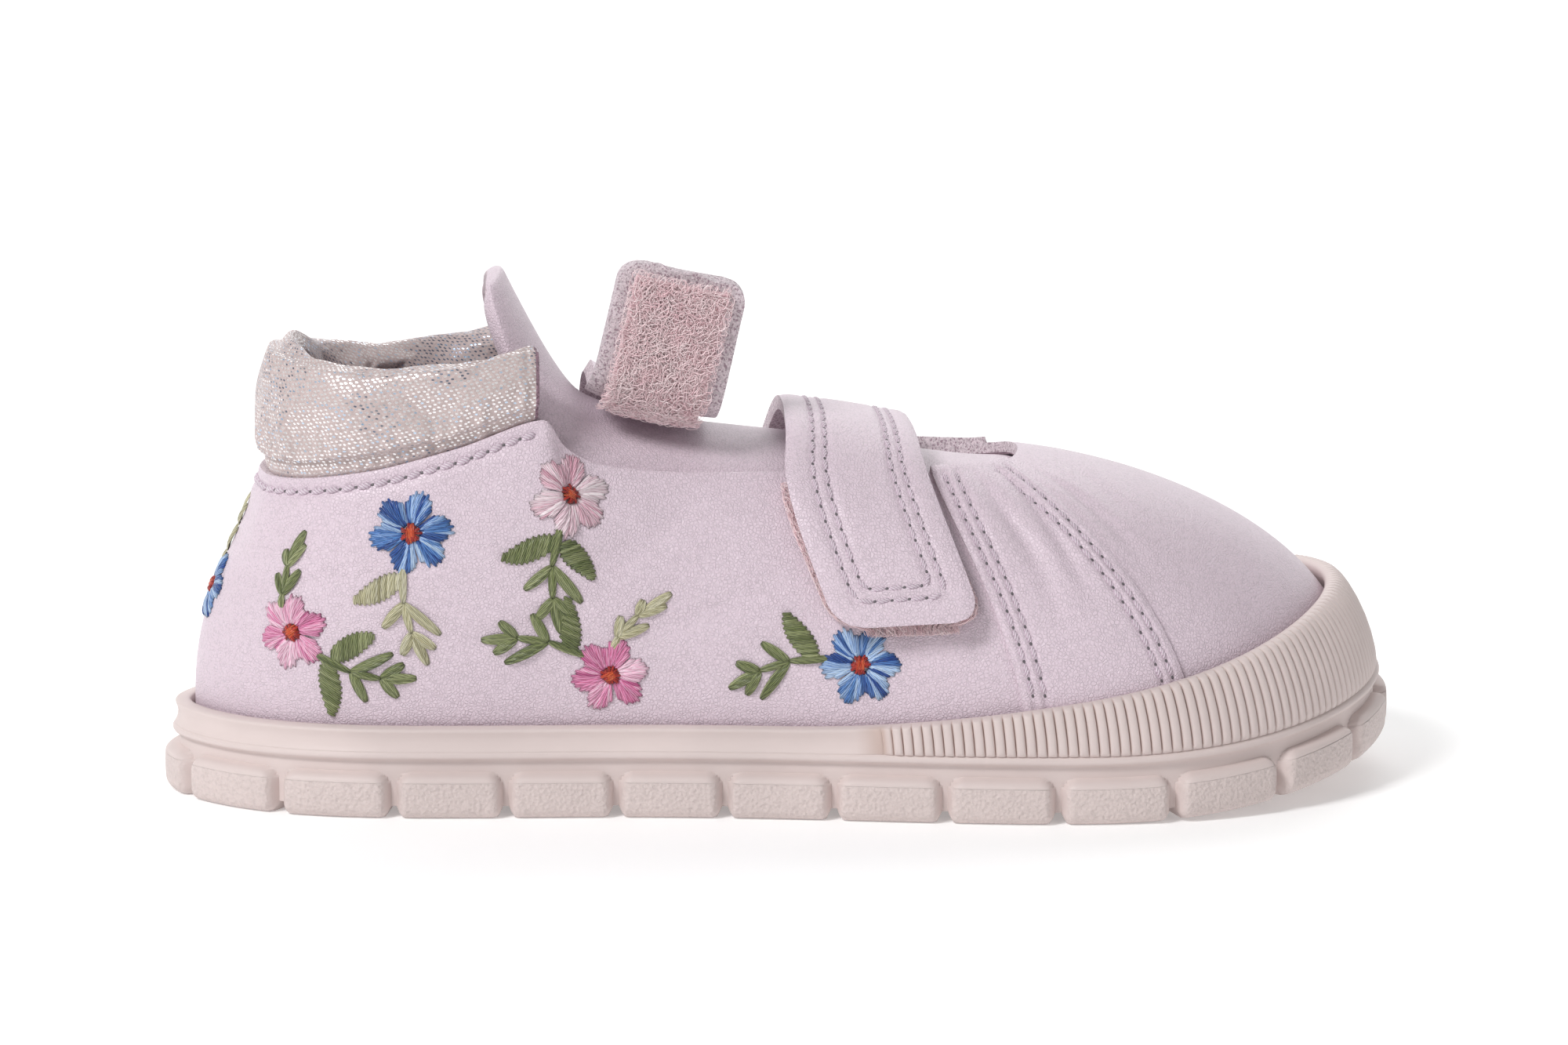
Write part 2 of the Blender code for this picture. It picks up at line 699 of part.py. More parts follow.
def make_lower_straps(collection, leather, loop):
    """Closed lower strap over the instep, and the loop fabric that it lands on."""
    middle = sum(LOWER_STRAP) / 2
    end = 3.0 - STRAP_END_RISE
    speed = np.linalg.norm(girth_point(middle, end) - girth_point(middle, end - NEAR)) / NEAR
    ends = [end - STRAP_CORNER * part / speed for part in STRAP_END_STEPS]
    stops = np.concatenate([np.linspace(STRAP_ROOT_RISE, 1.0, STRAP_WALL_ROWS), np.linspace(1.0, 2.0, STRAP_CROWN_ROWS)[1:],
                            np.linspace(2.0, ends[0], STRAP_WALL_ROWS)[1:-1], ends])
    seat = GAP + LOOP_THICKNESS + LOOP_GAP
    rows = []
    for across in stops:
        over = GAP + (seat - GAP) * smooth_step(LANDING[0], LANDING[1], across)
        row = []
        for station in strap_stations(LOWER_STRAP, (end - across) * speed):
            normal = girth_normal(station, across)
            row.append((girth_point(station, across) + over * normal, normal))
        rows.append(row)
    outer, inner = raised_grids(rows, 0.0, STRAP_THICKNESS)
    strap = make_object("strap_lower", shell(outer, inner, wrap=False), leather, collection, 50)
    patch = []
    for across in np.linspace(LANDING[1], end - LOOP_TUCK / speed, STRAP_WALL_ROWS):
        stations = strap_stations(LOWER_STRAP, STRAP_CORNER, inset=LOOP_TUCK / HALVES[LATERAL][1][-1])
        patch.append([(girth_point(station, across), girth_normal(station, across)) for station in stations])
    outer, inner = raised_grids(patch, GAP, GAP + LOOP_THICKNESS)
    pad = make_object("loop_patch_lower", shell(outer, inner, wrap=False), loop, collection, 50)
    return strap, pad


def flap_path(station, crown_end):
    """Return points and outward directions of the open strap's free flap, which stands up from the crown."""
    middle = sum(UPPER_STRAP) / 2
    forward = unit(girth_point(middle, crown_end + NEAR) - girth_point(middle, crown_end - NEAR))
    normal = girth_normal(middle, crown_end)
    path = []
    place = girth_point(station, crown_end)
    gone = 0.0
    for length in FLAP_STOPS:
        turned = FLAP_BEND * smooth_step(0.0, FLAP_BEND_LENGTH, (gone + length) / 2)
        heading = forward * math.cos(turned) + normal * math.sin(turned)
        place = place + heading * (length - gone)
        turned = FLAP_BEND * smooth_step(0.0, FLAP_BEND_LENGTH, length)
        path.append((place, normal * math.cos(turned) - forward * math.sin(turned)))
        gone = length
    return path


def make_upper_straps(collection, leather, loop):
    """Open upper strap, rooted on the medial side with its free flap standing up, and its loop fabric."""
    crown_end = 1.0 + FLAP_LEAVES_CROWN
    stops = np.concatenate([np.linspace(STRAP_ROOT_RISE, 1.0, STRAP_WALL_ROWS),
                            np.linspace(1.0, crown_end, STRAP_CROWN_ROWS)[1:]])
    rows = []
    for across in stops:
        row = []
        for station in strap_stations(UPPER_STRAP, STRAP_CORNER):
            row.append((girth_point(station, across), girth_normal(station, across)))
        rows.append(row)
    for index, length in enumerate(FLAP_STOPS):
        stations = strap_stations(UPPER_STRAP, FLAP_LENGTH - length)
        rows.append([flap_path(station, crown_end)[index] for station in stations])
    outer, inner = raised_grids(rows, GAP, GAP + STRAP_THICKNESS)
    strap = make_object("strap_upper", shell(outer, inner, wrap=False), leather, collection, 50)
    patch = []
    for index, length in enumerate(FLAP_STOPS):
        if 2 * LOOP_INSET < length < FLAP_LENGTH - LOOP_INSET / 2:
            stations = strap_stations(UPPER_STRAP, STRAP_CORNER, inset=LOOP_INSET / HALVES[LATERAL][1][-1])
            patch.append([flap_path(station, crown_end)[index] for station in stations])
    outer, inner = raised_grids(patch, GAP - LOOP_GAP - LOOP_THICKNESS, GAP - LOOP_GAP)
    pad = make_object("loop_patch_upper", shell(outer, inner, wrap=False), loop, collection, 50)
    return strap, pad


def centre_on_floor(objects):
    """Move the whole boot so that the middle of its box's underside is the origin."""
    points = np.array([vert.co for obj in objects for vert in obj.data.vertices])
    low = points.min(axis=0)
    high = points.max(axis=0)
    shift = np.array([(low[0] + high[0]) / 2, (low[1] + high[1]) / 2, low[2]])
    for obj in objects:
        for vert in obj.data.vertices:
            vert.co = np.array(vert.co) - shift


def main():
    """Build every part of the boot in its own collection."""
    for obj in list(bpy.data.objects):
        bpy.data.objects.remove(obj)
    collection = bpy.data.collections.new("baby_boot")
    bpy.context.scene.collection.children.link(collection)
    stuff = {name: make_material(name) for name in COLOURS}
    parts = [
        make_sole(collection, stuff["rubber"]),
        make_upper(collection, stuff["leather"]),
        make_insole(collection, stuff["lining"]),
        make_tongue(collection, stuff["leather"]),
        make_collar(collection, stuff["shimmer"]),
    ]
    parts += make_lower_straps(collection, stuff["leather"], stuff["loop"])
    parts += make_upper_straps(collection, stuff["leather"], stuff["loop"])
    centre_on_floor(parts)


main()
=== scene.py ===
import math

import bpy
import numpy as np
from bpy.props import FloatProperty, FloatVectorProperty, IntProperty, PointerProperty
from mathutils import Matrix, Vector


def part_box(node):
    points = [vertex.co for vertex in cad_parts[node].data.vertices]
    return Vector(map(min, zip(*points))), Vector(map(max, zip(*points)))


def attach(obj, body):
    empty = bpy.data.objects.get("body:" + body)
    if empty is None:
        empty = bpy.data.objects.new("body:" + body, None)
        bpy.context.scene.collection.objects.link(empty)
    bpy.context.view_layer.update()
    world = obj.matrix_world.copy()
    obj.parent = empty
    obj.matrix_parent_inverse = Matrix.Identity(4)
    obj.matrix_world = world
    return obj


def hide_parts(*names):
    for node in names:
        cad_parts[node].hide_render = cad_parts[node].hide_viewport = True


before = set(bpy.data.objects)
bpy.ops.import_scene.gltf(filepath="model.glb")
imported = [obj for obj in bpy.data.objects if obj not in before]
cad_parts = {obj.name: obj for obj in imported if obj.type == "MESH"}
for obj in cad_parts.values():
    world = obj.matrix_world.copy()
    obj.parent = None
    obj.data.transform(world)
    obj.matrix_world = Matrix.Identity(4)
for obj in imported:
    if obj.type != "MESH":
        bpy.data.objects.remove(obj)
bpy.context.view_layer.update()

# Looks of a child's low ankle boot: soft leather panels, a padded collar, two straps with loop fabric, a
# lugged rubber sole, sewn seams and floral embroidery. The toe points along +X and the outer side of the foot
# toward -Y. Lengths in tables are millimetres. A place on the upper is a turn and a rise: turn 0 is the back
# of the heel, 1 the tip of the toe by the lateral side and 2 the heel again by the medial side; rise 0 is the
# foot bed and 1 the top edge. A station is a turn without its side, from 0 at the heel to 1 at the toe.
bl_info = {
    "name": "Baby boot",
    "version": (1, 0, 0),
    "blender": (4, 5, 0),
    "location": "3D View > Sidebar > Boot",
    "description": "Makes a child's leather boot with a padded collar, straps, stitching and embroidery",
    "category": "Object",
}

MM = 0.001
NEAR = 0.004
GAP = 0.4

# Last and foot bed
PAD_REACH = 3.9
FOOT_BED_LENGTH = 142.2
TOE_TIP_Y = 5.0
TOE_SPRING = 4.5
SPRING_START = 105.0
PLATFORM = 5.0
FOOT_BED = [
    # part of the length, half width on the lateral side, on the medial side
    (0.030, 9.0, 9.0), (0.090, 15.3, 15.3), (0.200, 18.8, 18.6), (0.350, 20.2, 18.9), (0.500, 23.2, 20.4),
    (0.640, 27.2, 25.4), (0.740, 28.8, 28.2), (0.840, 27.0, 28.9), (0.920, 20.6, 25.6), (0.975, 10.6, 18.0),
]
QUARTER_CORNER = 0.335
TOP_EDGE = [
    # station, along, half width, height
    (0.000, 8.0, 0.0, 39.0), (0.060, 8.9, 7.0, 39.0), (0.120, 12.0, 12.6, 39.2),
    (0.190, 20.5, 17.2, 40.4), (0.270, 31.5, 18.8, 43.3), (QUARTER_CORNER, 41.5, 18.0, 46.4),
    (0.360, 44.2, 16.9, 43.0), (0.390, 48.5, 15.8, 40.8), (0.460, 60.0, 14.4, 39.6),
    (0.550, 76.0, 13.8, 39.3), (0.620, 87.0, 12.4, 39.0), (0.680, 93.5, 10.6, 39.0),
    (0.760, 97.5, 7.6, 39.5), (0.880, 99.2, 3.8, 40.1), (1.000, 99.6, 0.0, 40.3),
]
WALL_CURVE = [
    # station, lift, flare, reach, lead, drop
    (0.000, 18.0, 1.6, 3.0, 0.0, 12.0), (0.120, 18.0, 1.4, 3.6, 0.0, 12.0),
    (0.270, 17.0, 1.0, 4.6, 0.0, 12.0), (QUARTER_CORNER, 16.0, 1.0, 4.8, 0.0, 11.0),
    (0.390, 15.5, 1.0, 5.6, 0.0, 9.0), (0.500, 15.5, 1.0, 7.8, 0.5, 7.0),
    (0.620, 16.0, 1.0, 10.5, 2.0, 4.6), (0.760, 16.5, 0.8, 16.0, 3.0, 3.2),
    (0.880, 15.5, 0.6, 21.0, 2.0, 3.2), (1.000, 15.0, 0.6, 24.0, 0.0, 3.4),
]
TOP_SLOPE = 0.03
WALL = 1.6

# Leather panels and lining of the upper
SIDE_LENGTH = 165.0
SIDE_HEIGHT = 36.0
PANEL_FOOT = 0.08
PANEL_WALL = 1.3
PANEL_ROUND = 0.22
LINING_RISES = (0.03, 0.992)
LINING_DEPTH = 1.30
LINING_WALL = 0.25
COLLAR_SEAM = 1.7
COLLAR_GROOVE = (0.32, 0.55)
COLLAR_BANK = (0.16, 3.2, 1.3)

# Side band between the two double seams
SADDLE_BACK = 0.630
SADDLE_FRONT = 0.735
SADDLE_JOIN = 0.682
SADDLE_LIFT = 0.75
SADDLE_OVERLAP = 0.006
SADDLE_WALL = 1.35
SADDLE_ROUND = 0.28
SEAM_ROWS = (1.4, 2.8)
SEAM_GROOVE = (0.30, 0.42)
SEAM_BANK = (0.10, 0.5)
SEAM_FALL = (0.25, 0.5)
SADDLE_EDGES = (
    # station, and the way inward from it
    (SADDLE_BACK - SADDLE_OVERLAP, 1), (SADDLE_FRONT + SADDLE_OVERLAP, -1),
)

# Insole and its cloth cover
INSOLE_REACH = -(WALL + GAP + 0.2)
INSOLE_STATIONS = [
    0.0, 0.06, 0.12, 0.19, 0.27, QUARTER_CORNER, 0.36, 0.39, 0.46, 0.55, 0.628, 0.665, SADDLE_FRONT, 0.78,
    0.86, 0.935, 1.0,
]
COVER_REACH = -(WALL + GAP + 0.25)
COVER_HEIGHTS = (0.05, 1.6, 2.0, 2.2)
COVER_DRAWS = (0.0, 0.0, 0.12, 0.5)
COVER_RINGS = 9
COVER_HOLLOW = 0.5

# Sole
FOXING_TOP = 10.8
BUMPER_TOP = 18.6
BUMPER_CLIMB = (0.46, 0.93)
RIB_START = 0.52
RIBS_PER_SIDE = 70
RIB_COLUMNS = 9
PLAIN_COLUMNS = 90
RIB_DEPTH = 0.55
BAND_FOOT = 7.9
PAD_COUNT = 26
PAD_COLUMNS = 40
PAD_TOP = 5.35
PAD_HALF = 0.462
PAD_CORNER = 1.7
PAD_FOOT = 1.3
STIPPLE_TOP = 4.35
RECESS = 2.3
GAP_REACH = 1.4
TREAD = 1.2
ARCH = (54.0, 64.5, 75.0, 85.5)
ISLAND_REACH = -8.2
SPINE_START = 16.0
SPINE_LENGTH = 106.0
SPINE_SWING = (2.0, 60.0, 95.0)

# Collar
COLLAR_HEIGHT = [
    # station, height
    (0.000, 15.5), (0.060, 15.3), (0.120, 14.2), (0.220, 11.0), (QUARTER_CORNER, 8.6), (1.000, 8.6),
]
COLLAR_SECTION = [
    # part of the height, place across the wall, outward positive
    (0.00, -0.7), (0.10, -0.3), (0.35, 0.9), (0.68, 1.0), (0.90, 0.0), (1.00, -1.6), (0.93, -3.2),
    (0.68, -4.0), (0.35, -3.6), (0.00, -1.7),
]
COLLAR_LEAN = 0.45
COLLAR_COLUMNS = 240
COLLAR_STEPS = 9
# Its raw end, the part of its height that the seam holds, the cover's slack, and how far it may settle
COLLAR_FACING = 1.0
COLLAR_HELD = 0.12
COLLAR_SLACK = 0.035
COLLAR_SETTLES = 0.9
CLOTH_SCALE = 10
CLOTH_FRAMES = 20

# Tongue
TONGUE_STATIONS = (0.385, 0.42, 0.46, 0.51, 0.56, 0.61, 0.66, 0.72)
TONGUE_WINGS = (0.90, 0.96)
TONGUE_WALL = 2.3
TONGUE_RISE = (0.35, 0.60, 0.72)
TONGUE_TUCK = [
    # along, height, width factor, arch factor, lean of the rows under the toe panel
    (5.0, 0.1, 0.95, 1.0, 0.0), (10.0, -2.2, 0.85, 1.0, 0.0),
]
TONGUE_TIP = [
    # along, height, width factor, arch factor, backward lean in degrees
    (-8.6, 14.4, 0.46, 0.22, 60.0), (-8.2, 13.4, 0.62, 0.28, 60.0), (-6.0, 9.2, 0.68, 0.40, 55.0),
    (-3.4, 4.6, 0.72, 0.56, 40.0), (-1.4, 1.6, 0.84, 0.78, 18.0),
]

# Straps
STRAP_WALL = 1.7
STRAP_STAND = 1.8
STRAP_ROUND = 0.1
STRAP_COLUMNS = 48
STRAP_SEAMS = (3.0, 4.4)
STRAP_GROOVE = (0.28, 0.45)
STRAP_FALL = (0.25, 0.6)
LOWER_STRAP_WIDTH = 16.0
LOWER_SEAM_WIDTH = 16.3
UPPER_STRAP_WIDTH = 15.0
STRAP_CORNER = 3.2
LOWER_STRAP = (0.515, 0.612)
UPPER_STRAP = (0.378, 0.468)
STRAP_ROOT_RISE = 0.42
STRAP_END_RISE = 0.40
CROWN_FULLNESS = 1.1
LANDING = (1.5, 2.1)
FLAP_LEAVES_CROWN = 0.64
FLAP_LENGTH = 24.0
FLAP_BEND_LENGTH = 13.0
FLAP_BEND = math.radians(96)
UPPER_SHARE = 0.55
LOOP_THICKNESS = 1.1
LOOP_INSET = 2.0
LOOP_GAP = 0.3
PATCH_START = 4.2
FIBRE_WIDTH = 0.075
FIBRE_CURL = 0.42
FIBRE_STEPS = 9
FIBRE_LIGHT = (0.95, 0.82, 0.83)
FIBRE_SPILL = 0.06
FIBRE_FIELD = 1.11
FIBRE_SEEDS = (11, 12)
FLUFF_SEED = 5
UPPER_PATCH = (11.5, 18.0)
SIDE_RIM = (1.6, 11.0)
END_RIM = (16.0, 1.6)
RIM_SHARE = 8

# Stitches
STITCH_SEED = 3
STITCH_WIDTH = 0.26
STITCH_HEIGHT = 0.25
STITCH_SLANT = (0.09, 0.03)
NEEDLE_HOLE = 0.17
# darkness of the small copy of a stitch set at each needle hole: painted shade in the hole
NEEDLE_HOLE_PAINTED_SHADE = 0.16
COLLAR_THREAD = 1.35
LOWER_STITCH_STAND = 1.6
UPPER_STITCH_STAND = 1.62
ROOT_STITCH_STAND = 1.76

# Soft troughs in the leather, drawn one by one
CREASES = [
    # width, depth, then turn and rise of points along the trough
    (3.0, 0.40, ((0.605, 0.30), (0.600, 0.55), (0.590, 0.80), (0.585, 0.97))),
    (2.2, 0.30, ((0.560, 0.32), (0.562, 0.50), (0.552, 0.66))),
    (2.6, 0.35, ((0.668, 0.40), (0.672, 0.62), (0.668, 0.86), (0.66, 0.99))),
    (2.2, 0.28, ((0.700, 0.46), (0.705, 0.70), (0.708, 0.95))),
    (2.8, 0.30, ((0.765, 0.55), (0.775, 0.74), (0.785, 0.93))),
    (2.6, 0.20, ((0.80, 0.70), (0.83, 0.80), (0.86, 0.87), (0.90, 0.91))),
    (4.0, 0.30, ((0.02, 0.60), (0.10, 0.58), (0.18, 0.62), (0.26, 0.70))),
    (3.2, 0.32, ((0.30, 0.52), (0.37, 0.60), (0.42, 0.72), (0.45, 0.86))),
    (2.6, 0.26, ((0.36, 0.36), (0.43, 0.44), (0.49, 0.56))),
    (2.4, 0.24, ((0.24, 0.34), (0.31, 0.40), (0.36, 0.48))),
]

# Embroidery: a branch beside a flower, with the flower's middle as origin and the stem's way as first axis
BRANCH_STEMS = [(3.6, -0.6, 8.4, 0.0), (8.4, 0.0, 11.8, 1.3)]
BRANCH_LEAVES = [
    # foot along, foot across, tip along, tip across
    (8.4, 0.0, 11.7, -2.05), (8.4, 0.0, 11.5, 4.7), (11.8, 1.3, 13.2, 4.3), (11.8, 1.3, 15.3, 3.6),
    (11.8, 1.3, 14.6, 0.5),
]
BRANCH_PLUMP = (0.30, 0.46)
BRANCH_BLADES = [(5.6, -0.4, 8.9, -5.7, 2.7), (5.4, 0.4, 8.7, 5.3, 2.7)]
SPRAY_STEMS = [(2.6, 1.2, 4.6, 1.3), (4.6, 1.3, 8.0, 0.4)]
SPRAY_LEAVES = [
    (4.4, 1.3, 7.4, -1.3), (4.4, 1.3, 6.9, 2.2), (7.8, 0.4, 10.4, -2.1), (7.8, 0.4, 9.8, 0.7),
    (8.4, 0.0, 12.0, -1.9),
]
SPRAY_PLUMP = (0.28, 0.42)
MOTIFS = [
    # flower, along, height, radius, branch angle, branch greens, blades, spray angle, spray greens
    ("pink", 12.0, 21.4, 4.4, -32, "green", 2, 92, "green"),
    ("blue", 26.0, 33.6, 4.8, -97, "cream", 1, None, None),
    ("blush", 44.4, 37.6, 4.9, -112, "green", 2, None, None),
    ("pink", 49.0, 16.6, 4.4, 150, "green", 1, 62, "cream"),
    ("blue", 78.0, 18.0, 4.6, 178, "green", 1, None, None),
]
HEEL_MOTIF = ("blue", 24.6, 4.4, 96, "cream")
HEEL_TURN = 0.004
PETALS = 6
PETAL_THREADS = 13
PETAL_FAN = (0.36, 0.455)
PETAL_TIP = (1.06, 0.30)
HEART_RAYS = 15
HEART_BARS = 4
SEW_STEPS = 8
SIDE_SEEDS = (100, 150)
HEEL_SEED = 200
PETAL_SILK = 0.44
RAY_SILK = 0.34
BAR_SILK = 0.36
LEAF_SILK = 0.40
SILK_STEPS = np.array([0.0, 0.05, 0.15, 0.32, 0.5, 0.68, 0.85, 0.95, 1.0])
SILK_TAPER = np.array([0.5, 0.85, 1.0, 1.0, 1.0, 1.0, 1.0, 0.85, 0.5])
PALETTES = {
    # dark, middle, light
    "blue": ((0.015, 0.075, 0.34), (0.11, 0.28, 0.62), (0.56, 0.71, 0.90)),
    "pink": ((0.62, 0.13, 0.33), (0.80, 0.32, 0.53), (0.93, 0.68, 0.79)),
    "blush": ((0.70, 0.38, 0.48), (0.87, 0.70, 0.76), (0.95, 0.88, 0.90)),
    "heart": ((0.36, 0.012, 0.010), (0.58, 0.035, 0.015), (0.74, 0.14, 0.035)),
    "green": ((0.085, 0.115, 0.035), (0.20, 0.235, 0.085), (0.40, 0.43, 0.22)),
    "cream": ((0.34, 0.31, 0.17), (0.58, 0.55, 0.36), (0.76, 0.73, 0.57)),
}

# Patterns in the materials
FOIL_PITCH = (0.62, 0.46)
PLY_PITCH = 0.45

# Stage, in metres
FLOOR_SIDE = 9.0
FLOOR_FRONT = 3.0
SWEEP_FROM = 4.5
SWEEP_LENGTH = 1.5
BACKDROP_FROM = 0.9
FLOOR_COLOUR = (0.92, 0.92, 0.92)
FLOOR_GLOW = 0.22
BACKDROP_GLOW = 0.75
WORLD_STRENGTH = 0.28
LIGHTS = [
    # name, place, target, size, power
    ("key", (-0.60, -0.55, 0.80), (0.0, 0.0, 0.03), 0.32, 8.0),
    ("fill", (0.95, -0.75, 0.45), (0.0, 0.0, 0.03), 0.7, 1.1),
    ("rim", (0.25, 0.80, 0.80), (0.0, 0.0, 0.04), 0.7, 2.6),
]
CAMERA_TARGET = (0.0, 0.0, 0.031)
CAMERA_DISTANCE = 0.53
CAMERA_LENS = 100.0


def smooth_step(start, end, value):
    """Ease from 0 at start to 1 at end."""
    part = np.clip((value - start) / (end - start), 0.0, 1.0)
    return part * part * (3 - 2 * part)


def swell(distance, middle, width):
    """Return a soft bump of height 1 round a middle."""
    return np.exp(-((distance - middle) / width) ** 2)


def unit(vectors):
    """Return vectors at length one."""
    return vectors / np.linalg.norm(vectors, axis=-1, keepdims=True)


def hermite(start, leaving, end, arriving, part):
    """Return points of a smooth curve from one place and direction to another."""
    rest = 1 - part
    return (start * (1 + 2 * part) * rest ** 2 + leaving * part * rest ** 2
            + end * part ** 2 * (3 - 2 * part) - arriving * part ** 2 * rest)


def mirrored_curve(rows, odd_column=None):
    """Make a smooth function of the station through a table that mirrors at the heel and at the toe."""
    rows = np.array(rows)
    sign = np.ones(rows.shape[1])
    if odd_column is not None:
        sign[odd_column] = -1.0
    before = rows[2:0:-1] * sign
    before[:, 0] *= -1.0
    after = rows[-2:-4:-1] * sign
    after[:, 0] = 2.0 - after[:, 0]
    knots = np.vstack([before, rows, after])
    place = knots[:, 0]
    value = knots[:, 1:]
    secant = np.diff(value, axis=0) / np.diff(place)[:, None]
    product = secant[:-1] * secant[1:]
    total = secant[:-1] + secant[1:]
    slope = np.zeros_like(value)
    slope[1:-1] = np.where(product > 0, 2 * product / np.where(product > 0, total, 1.0), 0.0)

    def at(station):
        station = np.asarray(station, float)
        index = np.clip(np.searchsorted(place, station, "right") - 1, 0, len(place) - 2)
        length = (place[index + 1] - place[index])[..., None]
        part = (station - place[index])[..., None] / length
        return hermite(value[index], slope[index] * length, value[index + 1], slope[index + 1] * length, part)

    return at


def running_length(points):
    """Return the length along a row of points, from 0 at its start."""
    return np.concatenate([[0.0], np.cumsum(np.linalg.norm(np.diff(points, axis=0), axis=1))])


def closed_curve(points, steps):
    """Sample a smooth closed curve through the points, the same number of steps from point to point."""
    points = np.array(points, float)
    count = len(points)
    following = np.roll(points, -1, axis=0)
    chord = np.linalg.norm(following - points, axis=1)
    back = np.roll(chord, 1)
    matrix = np.zeros((count, count))
    rhs = np.zeros_like(points)
    for i in range(count):
        matrix[i, i - 1] = 1 / back[i]
        matrix[i, i] = 2 / back[i] + 2 / chord[i]
        matrix[i, (i + 1) % count] = 1 / chord[i]
        rhs[i] = 3 * ((points[i] - points[i - 1]) / back[i] ** 2 + (following[i] - points[i]) / chord[i] ** 2)
    slope = np.linalg.solve(matrix, rhs)
    part = np.linspace(0.0, 1.0, steps, endpoint=False)[:, None]
    spans = [
        hermite(points[i], slope[i] * chord[i], following[i], slope[(i + 1) % count] * chord[i], part)
        for i in range(count)
    ]
    return np.vstack(spans)


def foot_bed_edge(steps=40):
    """Return turns, points and the two arc lengths of the edge of the foot bed, right round the boot."""
    lateral = [(along * FOOT_BED_LENGTH, -half) for along, half, _ in FOOT_BED]
    medial = [(along * FOOT_BED_LENGTH, half) for along, _, half in reversed(FOOT_BED)]
    loop = closed_curve([(0.0, 0.0)] + lateral + [(FOOT_BED_LENGTH, TOE_TIP_Y)] + medial, steps)
    toe = (len(lateral) + 1) * steps
    halves = (loop[:toe + 1], np.vstack([loop[toe:], loop[:1]]))
    arcs = [running_length(half) for half in halves]
    turns = np.concatenate([arcs[0] / arcs[0][-1], 1.0 + arcs[1][1:] / arcs[1][-1]])
    return turns, np.vstack([halves[0], halves[1][1:]]), arcs[0][-1], arcs[1][-1]


BED_TURNS, BED_POINTS, LATERAL_ARC, MEDIAL_ARC = foot_bed_edge()
TOP = mirrored_curve(TOP_EDGE, odd_column=2)
BELLY = mirrored_curve(WALL_CURVE)
COLLAR_RISE = mirrored_curve(COLLAR_HEIGHT)


def bed_at(turn):
    """Return points of the foot bed's edge in plan."""
    turn = np.mod(turn, 2.0)
    return np.stack([np.interp(turn, BED_TURNS, BED_POINTS[:, k]) for k in (0, 1)], axis=-1)


def bed(turn):
    """Return points of the foot bed's edge and their outward directions in plan."""
    along = unit(bed_at(turn + NEAR) - bed_at(turn - NEAR))
    return bed_at(turn), np.stack([along[..., 1], -along[..., 0]], axis=-1)


def spring(along):
    """Return how far the sole curls up toward the toe."""
    return TOE_SPRING * np.clip((along - SPRING_START) / (FOOT_BED_LENGTH - SPRING_START), 0.0, None) ** 2


def side_and_station(turn):
    """Return -1 or +1 for the lateral or medial side, and the station from heel to toe."""
    turn = np.mod(turn, 2.0)
    return np.where(turn <= 1.0, -1.0, 1.0), np.where(turn <= 1.0, turn, 2.0 - turn)


def skin(turn, rise):
    """Return points of the upper's outer face."""
    turn, rise = np.broadcast_arrays(np.asarray(turn, float), np.asarray(rise, float))
    foot, outward = bed(turn)
    side, station = side_and_station(turn)
    edge = TOP(station)
    belly = BELLY(station)
    bottom = np.stack([foot[..., 0], foot[..., 1], PLATFORM + GAP + spring(foot[..., 0])], axis=-1)
    top = np.stack([edge[..., 0], side * edge[..., 1], edge[..., 2]], axis=-1)
    out = np.concatenate([outward, np.zeros_like(outward[..., :1])], axis=-1)
    zero = np.zeros_like(turn)
    low = bottom + belly[..., 1:2] * out + np.stack([zero, zero, belly[..., 0]], axis=-1)
    high = top + belly[..., 2:3] * out + np.stack([belly[..., 3], zero, -belly[..., 4]], axis=-1)
    part = rise[..., None]
    rest = 1 - part
    return bottom * rest ** 3 + 3 * low * part * rest ** 2 + 3 * high * part ** 2 * rest + top * part ** 3


def skin_normal(turn, rise):
    """Return outward directions of the upper's outer face."""
    along = skin(turn + NEAR, rise) - skin(turn - NEAR, rise)
    level = np.clip(rise, NEAR, 1 - NEAR)
    return unit(np.cross(along, skin(turn, level + NEAR) - skin(turn, level - NEAR)))


def turn_speed(turn, rise):
    """Return how many millimetres along the upper go to one turn."""
    return np.linalg.norm(skin(turn + NEAR, rise) - skin(turn - NEAR, rise), axis=-1) / (2 * NEAR)


def rise_at_height(turn, height):
    """Return how far up the upper's outer face given heights lie."""
    turn, height = np.broadcast_arrays(np.asarray(turn, float), np.asarray(height, float))
    low = np.zeros_like(turn)
    high = np.ones_like(turn)
    for _ in range(18):
        middle = (low + high) / 2
        below = skin(turn, middle)[..., 2] < height
        low = np.where(below, middle, low)
        high = np.where(below, high, middle)
    return (low + high) / 2


def rim_height(turn):
    """Return the height of the sole's rim, which climbs into the toe bumper."""
    _, station = side_and_station(turn)
    climb = smooth_step(BUMPER_CLIMB[0], BUMPER_CLIMB[1], station)
    return FOXING_TOP + (BUMPER_TOP - FOXING_TOP) * climb + spring(bed_at(turn)[..., 0])


def girth_point(station, across):
    """Return points over the instep: 0 to 1 up the medial wall, to 2 over the throat, to 3 down the other."""
    station, across = np.broadcast_arrays(np.asarray(station, float), np.asarray(across, float))
    medial = skin(2.0 - station, np.clip(across, 0.0, 1.0))
    lateral = skin(station, np.clip(3.0 - across, 0.0, 1.0))
    start = skin(2.0 - station, 1.0)
    end = skin(station, 1.0)
    leaving = unit(start - skin(2.0 - station, 1.0 - TOP_SLOPE))
    arriving = unit(skin(station, 1.0 - TOP_SLOPE) - end)
    length = CROWN_FULLNESS * np.linalg.norm(end - start, axis=-1, keepdims=True)
    part = np.clip(across - 1.0, 0.0, 1.0)[..., None]
    crown = hermite(start, leaving * length, end, arriving * length, part)
    low = (across <= 1.0)[..., None]
    high = (across >= 2.0)[..., None]
    return np.where(low, medial, np.where(high, lateral, crown))


